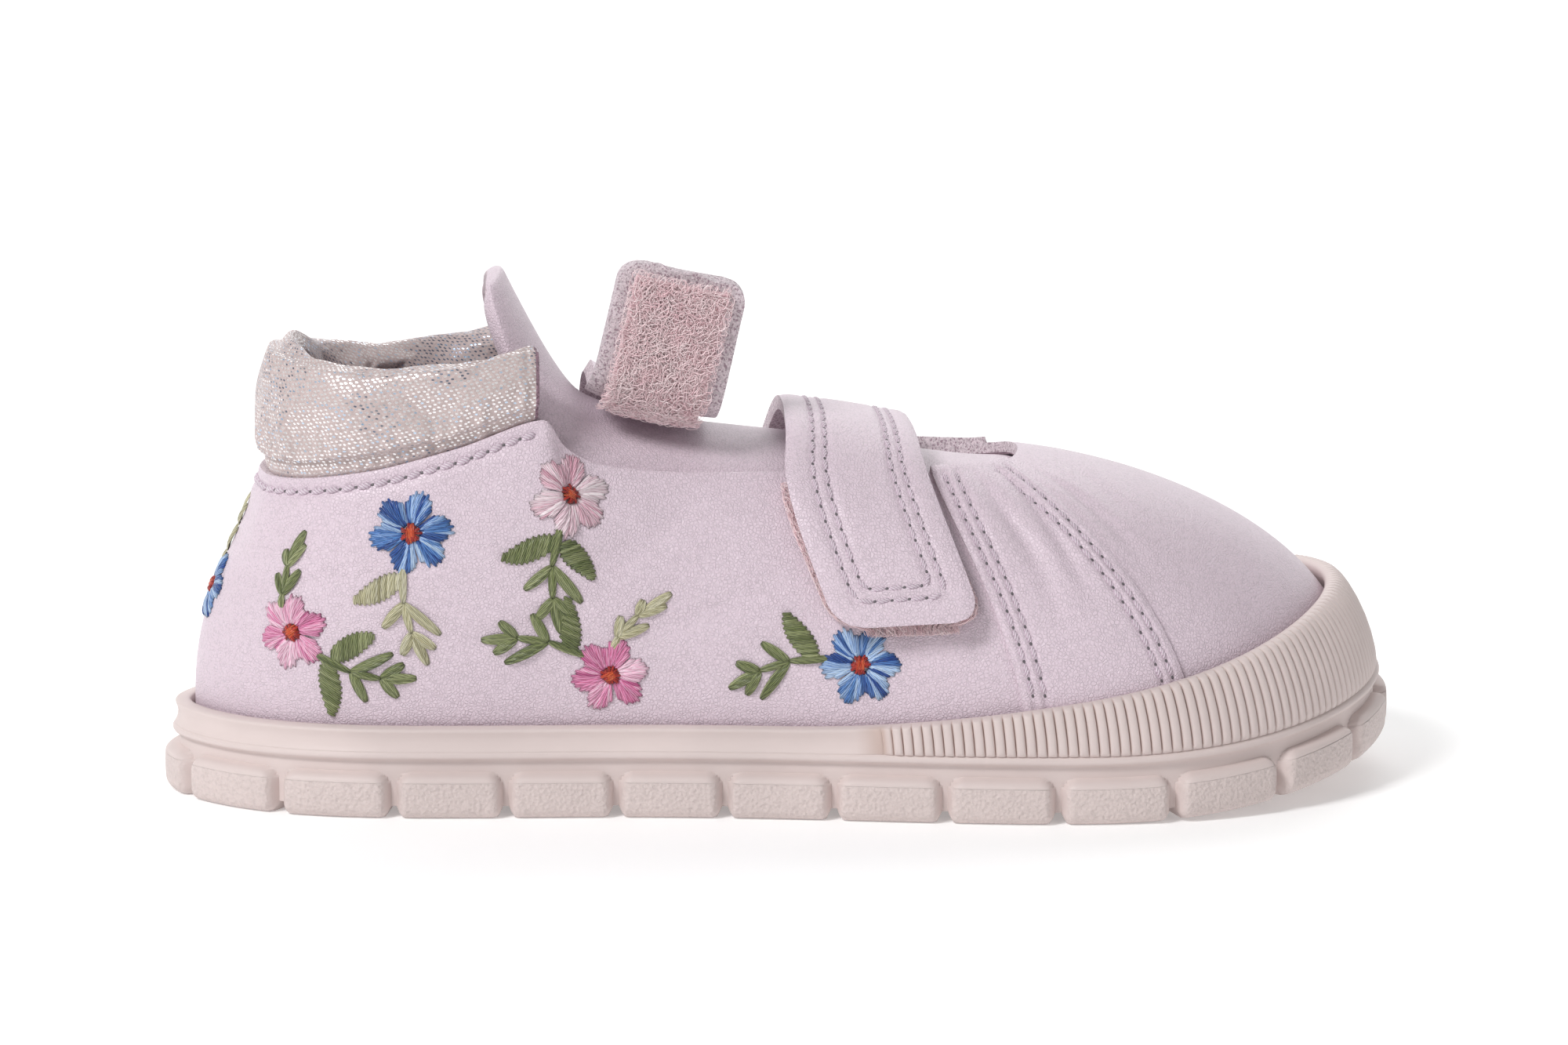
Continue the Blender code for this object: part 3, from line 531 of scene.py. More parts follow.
def girth_normal(station, across):
    """Return outward directions over the instep."""
    along = girth_point(station + NEAR, across) - girth_point(station - NEAR, across)
    over = girth_point(station, across + NEAR) - girth_point(station, across - NEAR)
    return unit(np.cross(over, along))


def find_shift():
    """Return the move from the last's own origin to the frame's, found from the insole's box."""
    stations = np.array(INSOLE_STATIONS)
    foot, outward = bed(np.concatenate([stations, 2.0 - stations]))
    plan = foot + INSOLE_REACH * outward
    low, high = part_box("insole")
    middle = (plan.min(axis=0) + plan.max(axis=0)) / 2
    return np.array([(low[0] + high[0]) / 2 / MM - middle[0], (low[1] + high[1]) / 2 / MM - middle[1], 0.0])


SHIFT = find_shift()


def to_frame(points):
    """Turn millimetres on the last into metres in the frame."""
    return (points + SHIFT) * MM


def soft_shape(turn, rise):
    """Return how far the leather stands in or out of the last: listed troughs and a slow waviness."""
    side, station = side_and_station(turn)
    wave = (0.06 * np.sin(station * 41 + side) * np.sin(rise * 7 + 1.3)
            + 0.04 * np.sin(station * 73 - rise * 9 + 2 * side)
            + 0.02 * np.sin(station * 121 + rise * 17))
    loose = 1 - smooth_step(0.50, 0.62, station) * smooth_step(0.55, 0.9, rise)
    shape = wave * smooth_step(0.0, 0.3, rise) * loose
    flat = np.stack([station * SIDE_LENGTH, rise * SIDE_HEIGHT], axis=-1)
    fine = np.linspace(0.0, 1.0, 24)
    for width, depth, stops in CREASES:
        stops = np.array(stops)
        knots = np.linspace(0.0, 1.0, len(stops))
        path = np.stack([np.interp(fine, knots, stops[:, 0]) * SIDE_LENGTH,
                         np.interp(fine, knots, stops[:, 1]) * SIDE_HEIGHT], axis=-1)
        gap = np.linalg.norm(flat[..., None, :] - path, axis=-1)
        nearest = gap.argmin(axis=-1)
        distance = gap.min(axis=-1)
        fade = np.sin(np.pi * (0.08 + 0.84 * fine[nearest]))
        trough = swell(distance, 0.0, 0.5 * width)
        banks = swell(distance, width, 0.6 * width)
        shape = shape + fade * depth * (0.45 * banks - trough)
    shape = shape * smooth_step(0.0, 0.07, station) * smooth_step(1.0, 0.90, station)
    return shape * (1 - 0.9 * smooth_step(0.60, 0.70, station) * smooth_step(0.82, 0.98, rise))


# Modelling helpers
def start_piece(name):
    """Name the piece that was just added."""
    piece = bpy.context.active_object
    piece.name = name
    piece.data.name = name
    return piece


def add_sheet(name, columns, rows, lay, outward=None):
    """Add a flat grid and lay it on the boot; lay gives points in millimetres from two arrays from 0 to 1."""
    bpy.ops.object.select_all(action="DESELECT")
    bpy.ops.mesh.primitive_grid_add(x_subdivisions=columns, y_subdivisions=rows, size=1.0)
    piece = start_piece(name)
    flat = np.empty(len(piece.data.vertices) * 3)
    piece.data.vertices.foreach_get("co", flat)
    flat = flat.reshape(-1, 3) + 0.5
    across = np.clip(flat[:, 0], 0.0, 1.0)
    up = np.clip(flat[:, 1], 0.0, 1.0)
    points = lay(across, up)
    piece.data.vertices.foreach_set("co", to_frame(points).ravel())
    piece.data.update()
    if outward is not None:
        middle = len(piece.data.polygons) // 2 + columns // 2
        face = piece.data.polygons[middle]
        if np.dot(face.normal, outward(across, up)[face.vertices[0]]) < 0:
            bpy.ops.object.mode_set(mode="EDIT")
            bpy.ops.mesh.select_all(action="SELECT")
            bpy.ops.mesh.flip_normals()
            bpy.ops.object.mode_set(mode="OBJECT")
    return piece


def thicken(piece, thickness, round_edge, materials, flesh=0, edge=0):
    """Give a sheet its materials and its thickness inward, and round its cut edges."""
    for material in materials:
        piece.data.materials.append(material)
    bpy.context.view_layer.objects.active = piece
    wall = piece.modifiers.new("thickness", "SOLIDIFY")
    wall.thickness = thickness * MM
    wall.offset = -1.0
    wall.use_even_offset = False
    wall.material_offset = flesh
    wall.material_offset_rim = edge
    bpy.ops.object.modifier_apply(modifier=wall.name)
    if round_edge:
        bevel = piece.modifiers.new("cut edge", "BEVEL")
        bevel.width = round_edge * MM
        bevel.segments = 2
        bevel.limit_method = "ANGLE"
        bevel.angle_limit = math.radians(55)
        bpy.ops.object.modifier_apply(modifier=bevel.name)


def weld(piece, distance=0.01):
    """Merge the touching edges of a rolled-up sheet and turn its faces outward."""
    bpy.context.view_layer.objects.active = piece
    bpy.ops.object.mode_set(mode="EDIT")
    bpy.ops.mesh.select_all(action="SELECT")
    bpy.ops.mesh.remove_doubles(threshold=distance * MM)
    bpy.ops.mesh.normals_make_consistent(inside=False)
    bpy.ops.object.mode_set(mode="OBJECT")


def finish_piece(piece, materials, node=None, sharp=60):
    """Give a piece its materials and smooth shading, and fasten it to the frame."""
    for material in materials:
        piece.data.materials.append(material)
    bpy.ops.object.select_all(action="DESELECT")
    piece.select_set(True)
    bpy.context.view_layer.objects.active = piece
    bpy.ops.object.shade_smooth_by_angle(angle=math.radians(sharp))
    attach(piece, "root")
    if node:
        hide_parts(node)
    return piece


def mark(piece, name, values):
    """Store one number per vertex under a name that a material reads."""
    attribute = piece.data.attributes.new(name, "FLOAT", "POINT")
    attribute.data.foreach_set("value", np.asarray(values, np.float32))


def marked(piece, name):
    """Return the numbers stored per vertex under a name."""
    values = np.empty(len(piece.data.vertices), np.float32)
    piece.data.attributes[name].data.foreach_get("value", values)
    return values


def mesh_piece(name, points, faces, colours, along):
    """Make one joined piece of thread from points in millimetres, four-sided faces, colours and lengths."""
    mesh = bpy.data.meshes.new(name)
    mesh.vertices.add(len(points))
    mesh.vertices.foreach_set("co", np.asarray(to_frame(points), np.float32).ravel())
    mesh.loops.add(faces.size)
    mesh.loops.foreach_set("vertex_index", faces.astype(np.int32).ravel())
    mesh.polygons.add(len(faces))
    mesh.polygons.foreach_set("loop_start", np.arange(len(faces), dtype=np.int32) * faces.shape[1])
    mesh.update(calc_edges=True)
    mesh.validate()
    piece = bpy.data.objects.new(name, mesh)
    bpy.context.scene.collection.objects.link(piece)
    attribute = mesh.attributes.new("thread_colour", "FLOAT_COLOR", "POINT")
    full = np.concatenate([colours, np.ones((len(colours), 1))], axis=1)
    attribute.data.foreach_set("color", full.astype(np.float32).ravel())
    mark(piece, "along_thread", along)
    return piece


def thread_arrays(paths, normals, widths, heights, colours, sides=5, taper=None):
    """Build half-round threads along paths and return points, faces, colours and places along each thread."""
    threads, steps, _ = paths.shape
    ahead = np.gradient(paths, axis=1)
    sideways = unit(np.cross(ahead, normals))
    angle = np.linspace(0.0, math.pi, sides)
    if taper is None:
        taper = np.ones(steps)
        taper[[0, -1]] = 0.45
    wide = (widths[:, None] * taper)[..., None, None] * 0.5
    tall = (heights[:, None] * taper)[..., None, None]
    ring = (paths[:, :, None, :] + np.cos(angle)[None, None, :, None] * sideways[:, :, None, :] * wide
            + np.sin(angle)[None, None, :, None] * normals[:, :, None, :] * tall)
    index = np.arange(threads * steps * sides).reshape(threads, steps, sides)
    corners = [index[:, :-1, :-1], index[:, 1:, :-1], index[:, 1:, 1:], index[:, :-1, 1:]]
    faces = np.stack(corners, axis=-1).reshape(-1, 4)
    tones = np.repeat(colours.reshape(threads, steps, 1, 3), sides, axis=2).reshape(-1, 3)
    lengths = np.linalg.norm(np.diff(paths, axis=1), axis=2)
    reach = np.concatenate([np.zeros((threads, 1)), np.cumsum(lengths, axis=1)], axis=1)
    start = np.modf(np.arange(threads) * 0.618)[0]
    along = (0.35 * reach + start[:, None])[:, :, None] + np.linspace(0.0, 1.15, sides)
    return ring.reshape(-1, 3), faces, tones, along.ravel()


# Looks
def shade(colour, factor):
    """Return a colour darkened or lightened by a factor."""
    return tuple(min(channel * factor, 1.0) for channel in colour)


class Look:
    """A material in the making: a plain shader, and the procedural values that are joined to it."""

    def __init__(self, name, colour, roughness, **sockets):
        self.colour = colour
        self.material = bpy.data.materials.new(name)
        self.material.use_nodes = True
        self.material.diffuse_color = (*colour, 1.0)
        self.shader = self.material.node_tree.nodes["Principled BSDF"]
        self.shader.inputs["Base Color"].default_value = (*colour, 1.0)
        self.shader.inputs["Roughness"].default_value = roughness
        for socket, value in sockets.items():
            self.shader.inputs[socket.replace("_", " ")].default_value = value

    def plug(self, socket, value):
        """Join a socket to another one, or set its number."""
        if isinstance(value, bpy.types.NodeSocket):
            self.material.node_tree.links.new(value, socket)
        else:
            socket.default_value = value

    def put(self, kind, settings=None, **inputs):
        """Add a shader node with its settings and inputs."""
        node = self.material.node_tree.nodes.new("ShaderNode" + kind)
        for key, value in (settings or {}).items():
            setattr(node, key, value)
        for key, value in inputs.items():
            self.plug(node.inputs[key.replace("_", " ")], value)
        return node

    def place(self):
        """Return object coordinates."""
        return self.put("TexCoord").outputs["Object"]

    def own(self, name, output="Fac"):
        """Return what the piece carries under a name."""
        return self.put("Attribute", {"attribute_name": name}).outputs[output]

    def noise(self, place, scale, detail=2.0, roughness=0.5):
        """Return a noise value."""
        node = self.put("TexNoise", Vector=place, Scale=scale, Detail=detail, Roughness=roughness)
        return node.outputs["Fac"]

    def ramp(self, value, low, high, out_low=0.0, out_high=1.0):
        """Return a value eased between two limits."""
        node = self.put("MapRange", {"interpolation_type": "SMOOTHSTEP"}, Value=value, From_Min=low,
                        From_Max=high, To_Min=out_low, To_Max=out_high)
        return node.outputs["Result"]

    def maths(self, operation, *values):
        """Return the result of a sum on one or two values."""
        node = self.put("Math", {"operation": operation})
        for socket, value in zip(node.inputs, values):
            self.plug(socket, value)
        return node.outputs["Value"]

    def blend(self, factor, first, second):
        """Return a mix of two colours."""
        node = self.put("Mix", {"data_type": "RGBA"})
        self.plug(node.inputs[0], factor)
        for index, colour in ((6, first), (7, second)):
            joined = isinstance(colour, bpy.types.NodeSocket)
            self.plug(node.inputs[index], colour if joined else (*colour, 1.0))
        return node.outputs[2]

    def mottle(self, value, limits, dark, light):
        """Return the look's colour, from a darker to a lighter tone with a value."""
        return self.blend(self.ramp(value, *limits), shade(self.colour, dark), shade(self.colour, light))

    def bump(self, height, depth, strength):
        """Return a bumped normal; depth in millimetres."""
        return self.put("Bump", Height=height, Distance=depth * MM, Strength=strength).outputs["Normal"]

    def finish(self, tone, normal=None):
        """Give the shader its colour and its bumped normal, and return the material."""
        self.plug(self.shader.inputs["Base Color"], tone)
        if normal is not None:
            self.plug(self.shader.inputs["Normal"], normal)
        return self.material


def leather_look(name, colour):
    """Soft full-grain leather: fine pebbles with painted shade in the valleys between them, and a low satin
    gloss.
    """
    made = Look(name, colour, 0.43, Coat_Weight=0.12, Coat_Roughness=0.40, Sheen_Weight=0.04)
    place = made.place()
    warp = made.put("TexNoise", Vector=place, Scale=1100.0, Detail=1.0)
    shifted = made.put("VectorMath", {"operation": "MULTIPLY_ADD"})
    made.plug(shifted.inputs[0], warp.outputs["Color"])
    shifted.inputs[1].default_value = (0.00016,) * 3
    made.plug(shifted.inputs[2], place)
    cells = made.put("TexVoronoi", {"feature": "DISTANCE_TO_EDGE"}, Vector=shifted.outputs[0], Scale=2500.0)
    to_valley = cells.outputs["Distance"]
    pebble = made.ramp(to_valley, 0.0, 0.20)
    fine = made.noise(place, 5200.0, 2.0, 0.6)
    broad = made.noise(place, 30.0, 2.0)
    open_grain = made.ramp(made.noise(place, 1700.0, 1.0), 0.40, 0.60, 0.25, 1.0)
    # painted shade: the valleys between the pebbles darken, more in some patches than in others
    pit_shade = made.maths("MULTIPLY", made.ramp(to_valley, 0.02, 0.15, 1.0, 0.0), open_grain)
    tone = made.mottle(broad, (0.3, 0.7), 0.985, 1.015)
    tone = made.blend(made.maths("MULTIPLY", pit_shade, 0.30), tone, shade(colour, 0.42))
    height = made.maths("ADD", made.maths("MULTIPLY", fine, 0.20), pebble)
    return made.finish(tone, made.bump(height, 0.06, 0.85))


def suede_look(name, colour, fleck):
    """Raw leather edge or flesh side: pale fibres with dark flecks."""
    made = Look(name, colour, 0.92, Sheen_Weight=0.25, Sheen_Roughness=0.5)
    place = made.place()
    fibres = made.noise(place, 2600.0, 4.0, 0.7)
    specks = made.noise(place, 3800.0, 2.0, 0.5)
    tone = made.mottle(fibres, (0.38, 0.62), 0.80, 1.12)
    tone = made.blend(made.ramp(specks, 0.52, 0.62, 0.0, 0.85), tone, fleck)
    return made.finish(tone, made.bump(fibres, 0.22, 0.9))


def rubber_look(name, colour):
    """Matte moulded rubber, stippled, and with painted shade, darker and warmer, in the valleys where the
    piece is marked so.
    """
    made = Look(name, colour, 0.55, Specular_IOR_Level=0.42)
    place = made.place()
    broad = made.noise(place, 70.0, 3.0)
    fine = made.noise(place, 2300.0, 3.0, 0.55)
    grit = made.put("TexVoronoi", Vector=place, Scale=2100.0).outputs["Distance"]
    rough = made.own("stipple")
    tone = made.mottle(broad, (0.3, 0.7), 0.96, 1.03)
    dust = made.maths("MULTIPLY", rough, made.ramp(fine, 0.45, 0.62, 0.0, 0.35))
    tone = made.blend(dust, tone, shade(colour, 0.80))
    # painted shade: the marked valleys between the ribs darken to a warm brown
    warm_valley_shade = made.maths("MULTIPLY", made.own("valley"), 0.55)
    tone = made.blend(warm_valley_shade, tone, (0.46, 0.31, 0.25))
    grain = made.maths("MULTIPLY", rough, made.maths("ADD", grit, fine))
    height = made.maths("ADD", made.maths("MULTIPLY", fine, 0.05), grain)
    return made.finish(tone, made.bump(height, 0.17, 0.8))


def shimmer_look(name, colour, foil):
    """Soft nubuck printed with rows of tiny foil dots, whose glints are painted: white in some zones, slate
    in others, and some bluish.
    """
    made = Look(name, colour, 0.60, Sheen_Weight=0.12)
    place = made.place()
    row = made.maths("DIVIDE", made.own("collar_up"), FOIL_PITCH[1])
    run = made.maths("DIVIDE", made.own("collar_run"), FOIL_PITCH[0])
    column = made.maths("ADD", run, made.maths("MULTIPLY", row, 0.5))
    lattice = made.put("CombineXYZ", X=column, Y=row).outputs["Vector"]
    dots = made.put("TexVoronoi", {"voronoi_dimensions": "2D"}, Vector=lattice, Scale=1.0, Randomness=0.42)
    inside = made.ramp(dots.outputs["Distance"], 0.22, 0.31, 1.0, 0.0)
    split = made.put("SeparateColor", Color=dots.outputs["Color"])
    fibres = made.noise(place, 3000.0, 3.0, 0.6)
    broad = made.noise(place, 60.0, 3.0)
    ground = made.mottle(fibres, (0.35, 0.65), 0.86, 1.08)
    ground = made.blend(made.ramp(broad, 0.35, 0.7, 0.0, 0.35), ground, shade(colour, 1.15))
    # painted glint: noisy zones decide whether a foil dot is painted lit, in the foil colour, or unlit, slate
    glint_zone = made.noise(place, 85.0, 1.0)
    turned = made.maths("ADD", glint_zone, made.maths("MULTIPLY", split.outputs["Red"], 0.16))
    painted_glint = made.blend(made.ramp(turned, 0.50, 0.60), (0.16, 0.18, 0.24), foil)
    # painted glint: some dots get a bluish reflection
    painted_glint = made.blend(made.ramp(split.outputs["Green"], 0.80, 0.86, 0.0, 0.7), painted_glint, (0.42, 0.60, 0.80))
    gloss = made.maths("MULTIPLY", inside, 0.34)
    made.plug(made.shader.inputs["Metallic"], made.maths("MULTIPLY", inside, 0.55))
    made.plug(made.shader.inputs["Roughness"], made.maths("SUBTRACT", 0.60, gloss))
    return made.finish(made.blend(inside, ground, painted_glint), made.bump(fibres, 0.06, 0.6))


def cloth_look(name, colour):
    """Brushed textile of the lining and the insole's cover."""
    made = Look(name, colour, 0.95, Sheen_Weight=0.3, Sheen_Roughness=0.5)
    place = made.place()
    pile = made.noise(place, 1900.0, 3.0, 0.65)
    broad = made.noise(place, 120.0, 2.0)
    tone = made.mottle(pile, (0.35, 0.65), 0.78, 1.12)
    tone = made.blend(made.ramp(broad, 0.3, 0.7, 0.0, 0.2), tone, shade(colour, 0.8))
    return made.finish(tone, made.bump(pile, 0.25, 0.9))


def thread_look(name, roughness, relief):
    """Plied thread whose colour comes from the piece, with painted shade, a deeper tone of its own colour, in
    the grooves between its plies.
    """
    made = Look(name, (0.7, 0.7, 0.7), roughness, Sheen_Weight=0.15)
    along = made.own("along_thread")
    twist = made.maths("SINE", made.maths("MULTIPLY", along, 2 * math.pi / PLY_PITCH))
    tone = made.own("thread_colour", "Color")
    # painted shade: the grooves between the plies take the thread's colour cubed, a darker and richer tone
    groove = made.ramp(twist, -1.0, -0.1, 0.75, 0.0)
    ply_groove_shade_tone = tone
    for _ in range(2):
        product = made.put("VectorMath", {"operation": "MULTIPLY"})
        made.plug(product.inputs[0], ply_groove_shade_tone)
        made.plug(product.inputs[1], tone)
        ply_groove_shade_tone = product.outputs[0]
    return made.finish(made.blend(groove, tone, ply_groove_shade_tone), made.bump(twist, relief, 0.7))


def fibre_look(name):
    """Loose pale fibres of the loop fabric, each of its own colour."""
    made = Look(name, (0.9, 0.8, 0.8), 0.75, Sheen_Weight=0.4, Sheen_Roughness=0.4)
    patches = made.noise(made.place(), 220.0, 2.0)
    own = made.own("thread_colour", "Color")
    return made.finish(made.blend(made.ramp(patches, 0.4, 0.7, 0.0, 0.3), own, (0.95, 0.84, 0.84)))


def fuzz_look(name, colour):
    """Matted ground of the loop fabric."""
    made = Look(name, colour, 0.95, Sheen_Weight=0.5, Sheen_Roughness=0.4)
    place = made.place()
    mat = made.noise(place, 900.0, 5.0, 0.7)
    patches = made.noise(place, 170.0, 2.0)
    tone = made.mottle(mat, (0.35, 0.65), 0.70, 1.12)
    tone = made.blend(made.ramp(patches, 0.45, 0.7, 0.0, 0.5), tone, (0.92, 0.78, 0.78))
    return made.finish(tone, made.bump(mat, 0.4, 0.9))


LOOKS = {}


def look(context, name):
    """Return a material of the boot, made at its first use."""
    settings = context.scene.boot_colours
    colour = {key: tuple(getattr(settings, key)) for key in settings.__annotations__}
    makers = {
        "leather": lambda: leather_look("grain_leather", colour["leather"]),
        "raw_edge": lambda: suede_look("raw_leather_edge", colour["raw_edge"], colour["fleck"]),
        "facing": lambda: suede_look("facing_suede", colour["facing"], shade(colour["facing"], 0.4)),
        "rubber": lambda: rubber_look("sole_rubber", colour["rubber"]),
        "shimmer": lambda: shimmer_look("foil_dotted_leather", colour["shimmer"], colour["foil"]),
        "lining": lambda: cloth_look("lining_cloth", colour["lining"]),
        "fuzz": lambda: fuzz_look("loop_ground", colour["loop"]),
        "seam": lambda: thread_look("seam_thread", 0.42, 0.09),
        "silk": lambda: thread_look("embroidery_thread", 0.36, 0.06),
        "fibre": lambda: fibre_look("loop_fibre"),
    }
    if name not in LOOKS:
        LOOKS[name] = makers[name]()
    return LOOKS[name]


# Sole
def turn_at_part(part):
    """Return the turn at a part of the whole way round the edge of the foot bed."""
    way = np.mod(part, 1.0) * (LATERAL_ARC + MEDIAL_ARC)
    return np.where(way <= LATERAL_ARC, way / LATERAL_ARC, 1.0 + (way - LATERAL_ARC) / MEDIAL_ARC)


def quarter_round(part):
    """Return the height of a quarter circle, from 0 at its foot to 1 at its crown."""
    return np.sqrt(np.clip(1 - (1 - np.clip(part, 0.0, 1.0)) ** 2, 0.0, 1.0))


def spine(part):
    """Return points on the sole's middle line, the same for both sides, from a part of the way round."""
    swing, start, end = SPINE_SWING
    along = SPINE_START + SPINE_LENGTH * (1 - np.abs(1 - 2 * part))
    return np.stack([along, swing * smooth_step(start, end, along)], axis=-1)


def lug_rows():
    """Return the rows of the lugged edge: reach and height on a pad and in a gap, and 1 on the side face."""
    under = [
        # reach, height on a pad, height in a gap
        (ISLAND_REACH, 0.0, 0.0), (-7.6, TREAD, TREAD), (-6.2, TREAD, TREAD), (-5.4, 0.0, TREAD),
        (-3.5, 0.0, TREAD), (-1.0, 0.0, TREAD), (1.0, 0.0, TREAD), (2.2, 0.0, TREAD),
    ]
    spans = ((0.0, PAD_FOOT, 7), (1.5, 4.0, 8), (4.15, 5.9, 16))
    side = np.concatenate([np.linspace(*span) for span in spans])
    ridge = [
        # reach, height
        (RECESS, 6.3), (RECESS, 6.6), (2.45, 6.78), (2.85, 6.95), (3.0, 7.2), (3.0, 7.5), (2.8, 7.75),
        (2.45, 7.95), (2.2, 8.1),
    ]
    rows = [(reach, high, min(reach, GAP_REACH), low, 0.0) for reach, high, low in under]
    for height in side:
        rounding = 1.2 * (1 - float(quarter_round(height / PAD_FOOT)))
        face = PAD_REACH - rounding + 0.12 * math.sin(math.pi * height / PAD_TOP)
        rows.append((face, height, RECESS, max(height, TREAD + 0.1), 1.0))
    rows += [(reach, height, reach, height, 0.0) for reach, height in ridge]
    return rows


def make_lugs(context):
    """Model the lower part of the sole: tread, rounded lugs, recess and ridge."""
    rows = np.array(lug_rows())
    pitch = (LATERAL_ARC + MEDIAL_ARC) / PAD_COUNT
    rough = []

    def lay(across, up):
        index = np.rint(up * len(rows)).astype(int)
        row = rows[np.clip(index - 1, 0, None)]
        turn = turn_at_part(across)
        pad_place = (np.mod(across * PAD_COUNT + 0.5, 1.0) - 0.5) * pitch
        to_side = PAD_HALF * pitch - np.abs(pad_place)
        to_top = PAD_TOP - row[:, 1]
        corner = np.hypot(np.clip(PAD_CORNER - to_side, 0.0, None), np.clip(PAD_CORNER - to_top, 0.0, None))
        in_corner = (to_side < PAD_CORNER) & (to_top < PAD_CORNER)
        depth = np.where(in_corner, PAD_CORNER - corner, np.minimum(to_side, to_top))
        on_side = row[:, 4] > 0.5
        mask = np.where(on_side, quarter_round(depth), smooth_step(-0.1, 0.5, to_side))
        reach = row[:, 2] + mask * (row[:, 0] - row[:, 2])
        height = row[:, 3] + mask * (row[:, 1] - row[:, 3])
        rough.append(np.where(on_side & (row[:, 1] < STIPPLE_TOP), mask ** 4, 0.0))
        foot, outward = bed(turn)
        plan = foot + reach[:, None] * outward
        plan = np.where((index == 0)[:, None], spine(across), plan)
        island = TREAD * smooth_step(ARCH[0], ARCH[1], plan[:, 0])
        island = island * (1 - smooth_step(ARCH[2], ARCH[3], plan[:, 0]))
        height = np.where(index <= 1, island, height)
        return np.stack([plan[:, 0], plan[:, 1], height + spring(plan[:, 0])], axis=-1)

    piece = add_sheet("sole_lugs", PAD_COUNT * PAD_COLUMNS, len(rows), lay)
    mark(piece, "stipple", rough[0])
    weld(piece)
    return finish_piece(piece, [look(context, "rubber")], "sole", sharp=50)


def make_band(context):
    """Model the smooth foxing band and the ribbed toe bumper, with the rim turned in over the edge."""
    rib_step = (1.0 - RIB_START) / RIBS_PER_SIDE
    plain = np.linspace(0.0, RIB_START, PLAIN_COLUMNS, endpoint=False)
    ribbed = np.linspace(RIB_START, 1.0, RIBS_PER_SIDE * RIB_COLUMNS + 1)
    half = np.concatenate([plain, ribbed])
    turns = np.concatenate([half, 2.0 - half[-2::-1]])
    profile = np.array([
        # part of the way up, reach of the plain band, reach between ribs, share of the rib
        (0.00, 2.15, 1.95, 0.0), (0.03, 2.2, 2.0, 0.55), (0.08, 2.12, 2.0, 0.9), (0.18, 1.92, 2.0, 1.0),
        (0.34, 1.78, 2.0, 1.0), (0.50, 1.72, 2.0, 1.0), (0.66, 1.78, 2.0, 1.0), (0.80, 1.92, 1.98, 1.0),
        (0.88, 2.0, 1.93, 0.97), (0.93, 1.94, 1.85, 0.86), (0.97, 1.7, 1.6, 0.6), (0.99, 1.35, 1.25, 0.25),
        (1.00, 0.9, 0.85, 0.0), (0.985, 0.35, 0.35, 0.0), (0.90, 0.1, 0.1, 0.0), (0.60, 0.05, 0.05, 0.0),
    ])
    profile[:, 1:3] += GAP
    valleys = []

    def lay(across, up):
        turn = turns[np.rint(across * (len(turns) - 1)).astype(int)]
        row = profile[np.rint(up * (len(profile) - 1)).astype(int)]
        _, station = side_and_station(turn)
        low = BAND_FOOT + spring(bed_at(turn)[:, 0])
        height = low + row[:, 0] * (rim_height(turn) - low)
        into = (station - RIB_START) / rib_step
        phase = np.mod(into, 1.0) - 0.5
        ridge = np.sqrt(np.clip(1 - (np.abs(phase) / 0.5) ** 2.6, 0.0, 1.0))
        ridge = ridge * smooth_step(0.0, 3.0, into)
        ribs = smooth_step(-2.0, 1.0, into)
        reach = row[:, 1] + ribs * (row[:, 2] - row[:, 1]) + RIB_DEPTH * row[:, 3] * ridge
        # marks the valleys between the ribs for the rubber's painted shade
        valleys.append(smooth_step(0.7, 0.2, ridge) * row[:, 3] * ribs)
        rise = rise_at_height(turn, height)
        return skin(turn, rise) + reach[:, None] * skin_normal(turn, rise)

    piece = add_sheet("sole_band", len(turns) - 1, len(profile) - 1, lay)
    mark(piece, "valley", valleys[0])
    weld(piece)
    return finish_piece(piece, [look(context, "rubber")], sharp=70)


# Upper
def lay_on_skin(turns, rises, stand, dents=None):
    """Return functions that lay a sheet between two turns and two rises and give its outward way."""

    def spot(across, up):
        return turns[0] + across * (turns[1] - turns[0]), rises[0] + up * (rises[1] - rises[0])

    def lay(across, up):
        turn, rise = spot(across, up)
        offset = stand + soft_shape(turn, rise)
        if dents is not None:
            offset = offset + dents(turn, rise)
        return skin(turn, rise) + offset[:, None] * skin_normal(turn, rise)

    def outward(across, up):
        return skin_normal(*spot(across, up))

    return lay, outward


def collar_groove(turn, rise):
    """Return the shallow groove that the collar seam pulls into the quarter."""
    _, station = side_and_station(turn)
    down = np.linalg.norm(skin(turn, 1.0) - skin(turn, rise), axis=-1)
    along = smooth_step(QUARTER_CORNER + 0.004, QUARTER_CORNER - 0.01, station)
    bank, below, width = COLLAR_BANK
    depth, narrow = COLLAR_GROOVE
    return along * (bank * swell(down, below, width) - depth * swell(down, COLLAR_SEAM, narrow))


def saddle_grooves(turn, rise):
    """Return the grooves of the double seams along the two edges of the side band."""
    _, station = side_and_station(turn)
    width = turn_speed(turn, rise)
    groove = np.zeros_like(station)
    for edge, way in SADDLE_EDGES:
        inside = (station - edge) * way * width
        for row in SEAM_ROWS:
            groove = groove - SEAM_GROOVE[0] * swell(inside, row, SEAM_GROOVE[1])
        groove = groove + SEAM_BANK[0] * swell(inside, sum(SEAM_ROWS) / 2, SEAM_BANK[1])
        groove = groove - SEAM_FALL[0] * swell(np.clip(inside, 0.0, None), 0.0, SEAM_FALL[1])
    return groove * (1 - smooth_step(0.94, 0.985, rise))


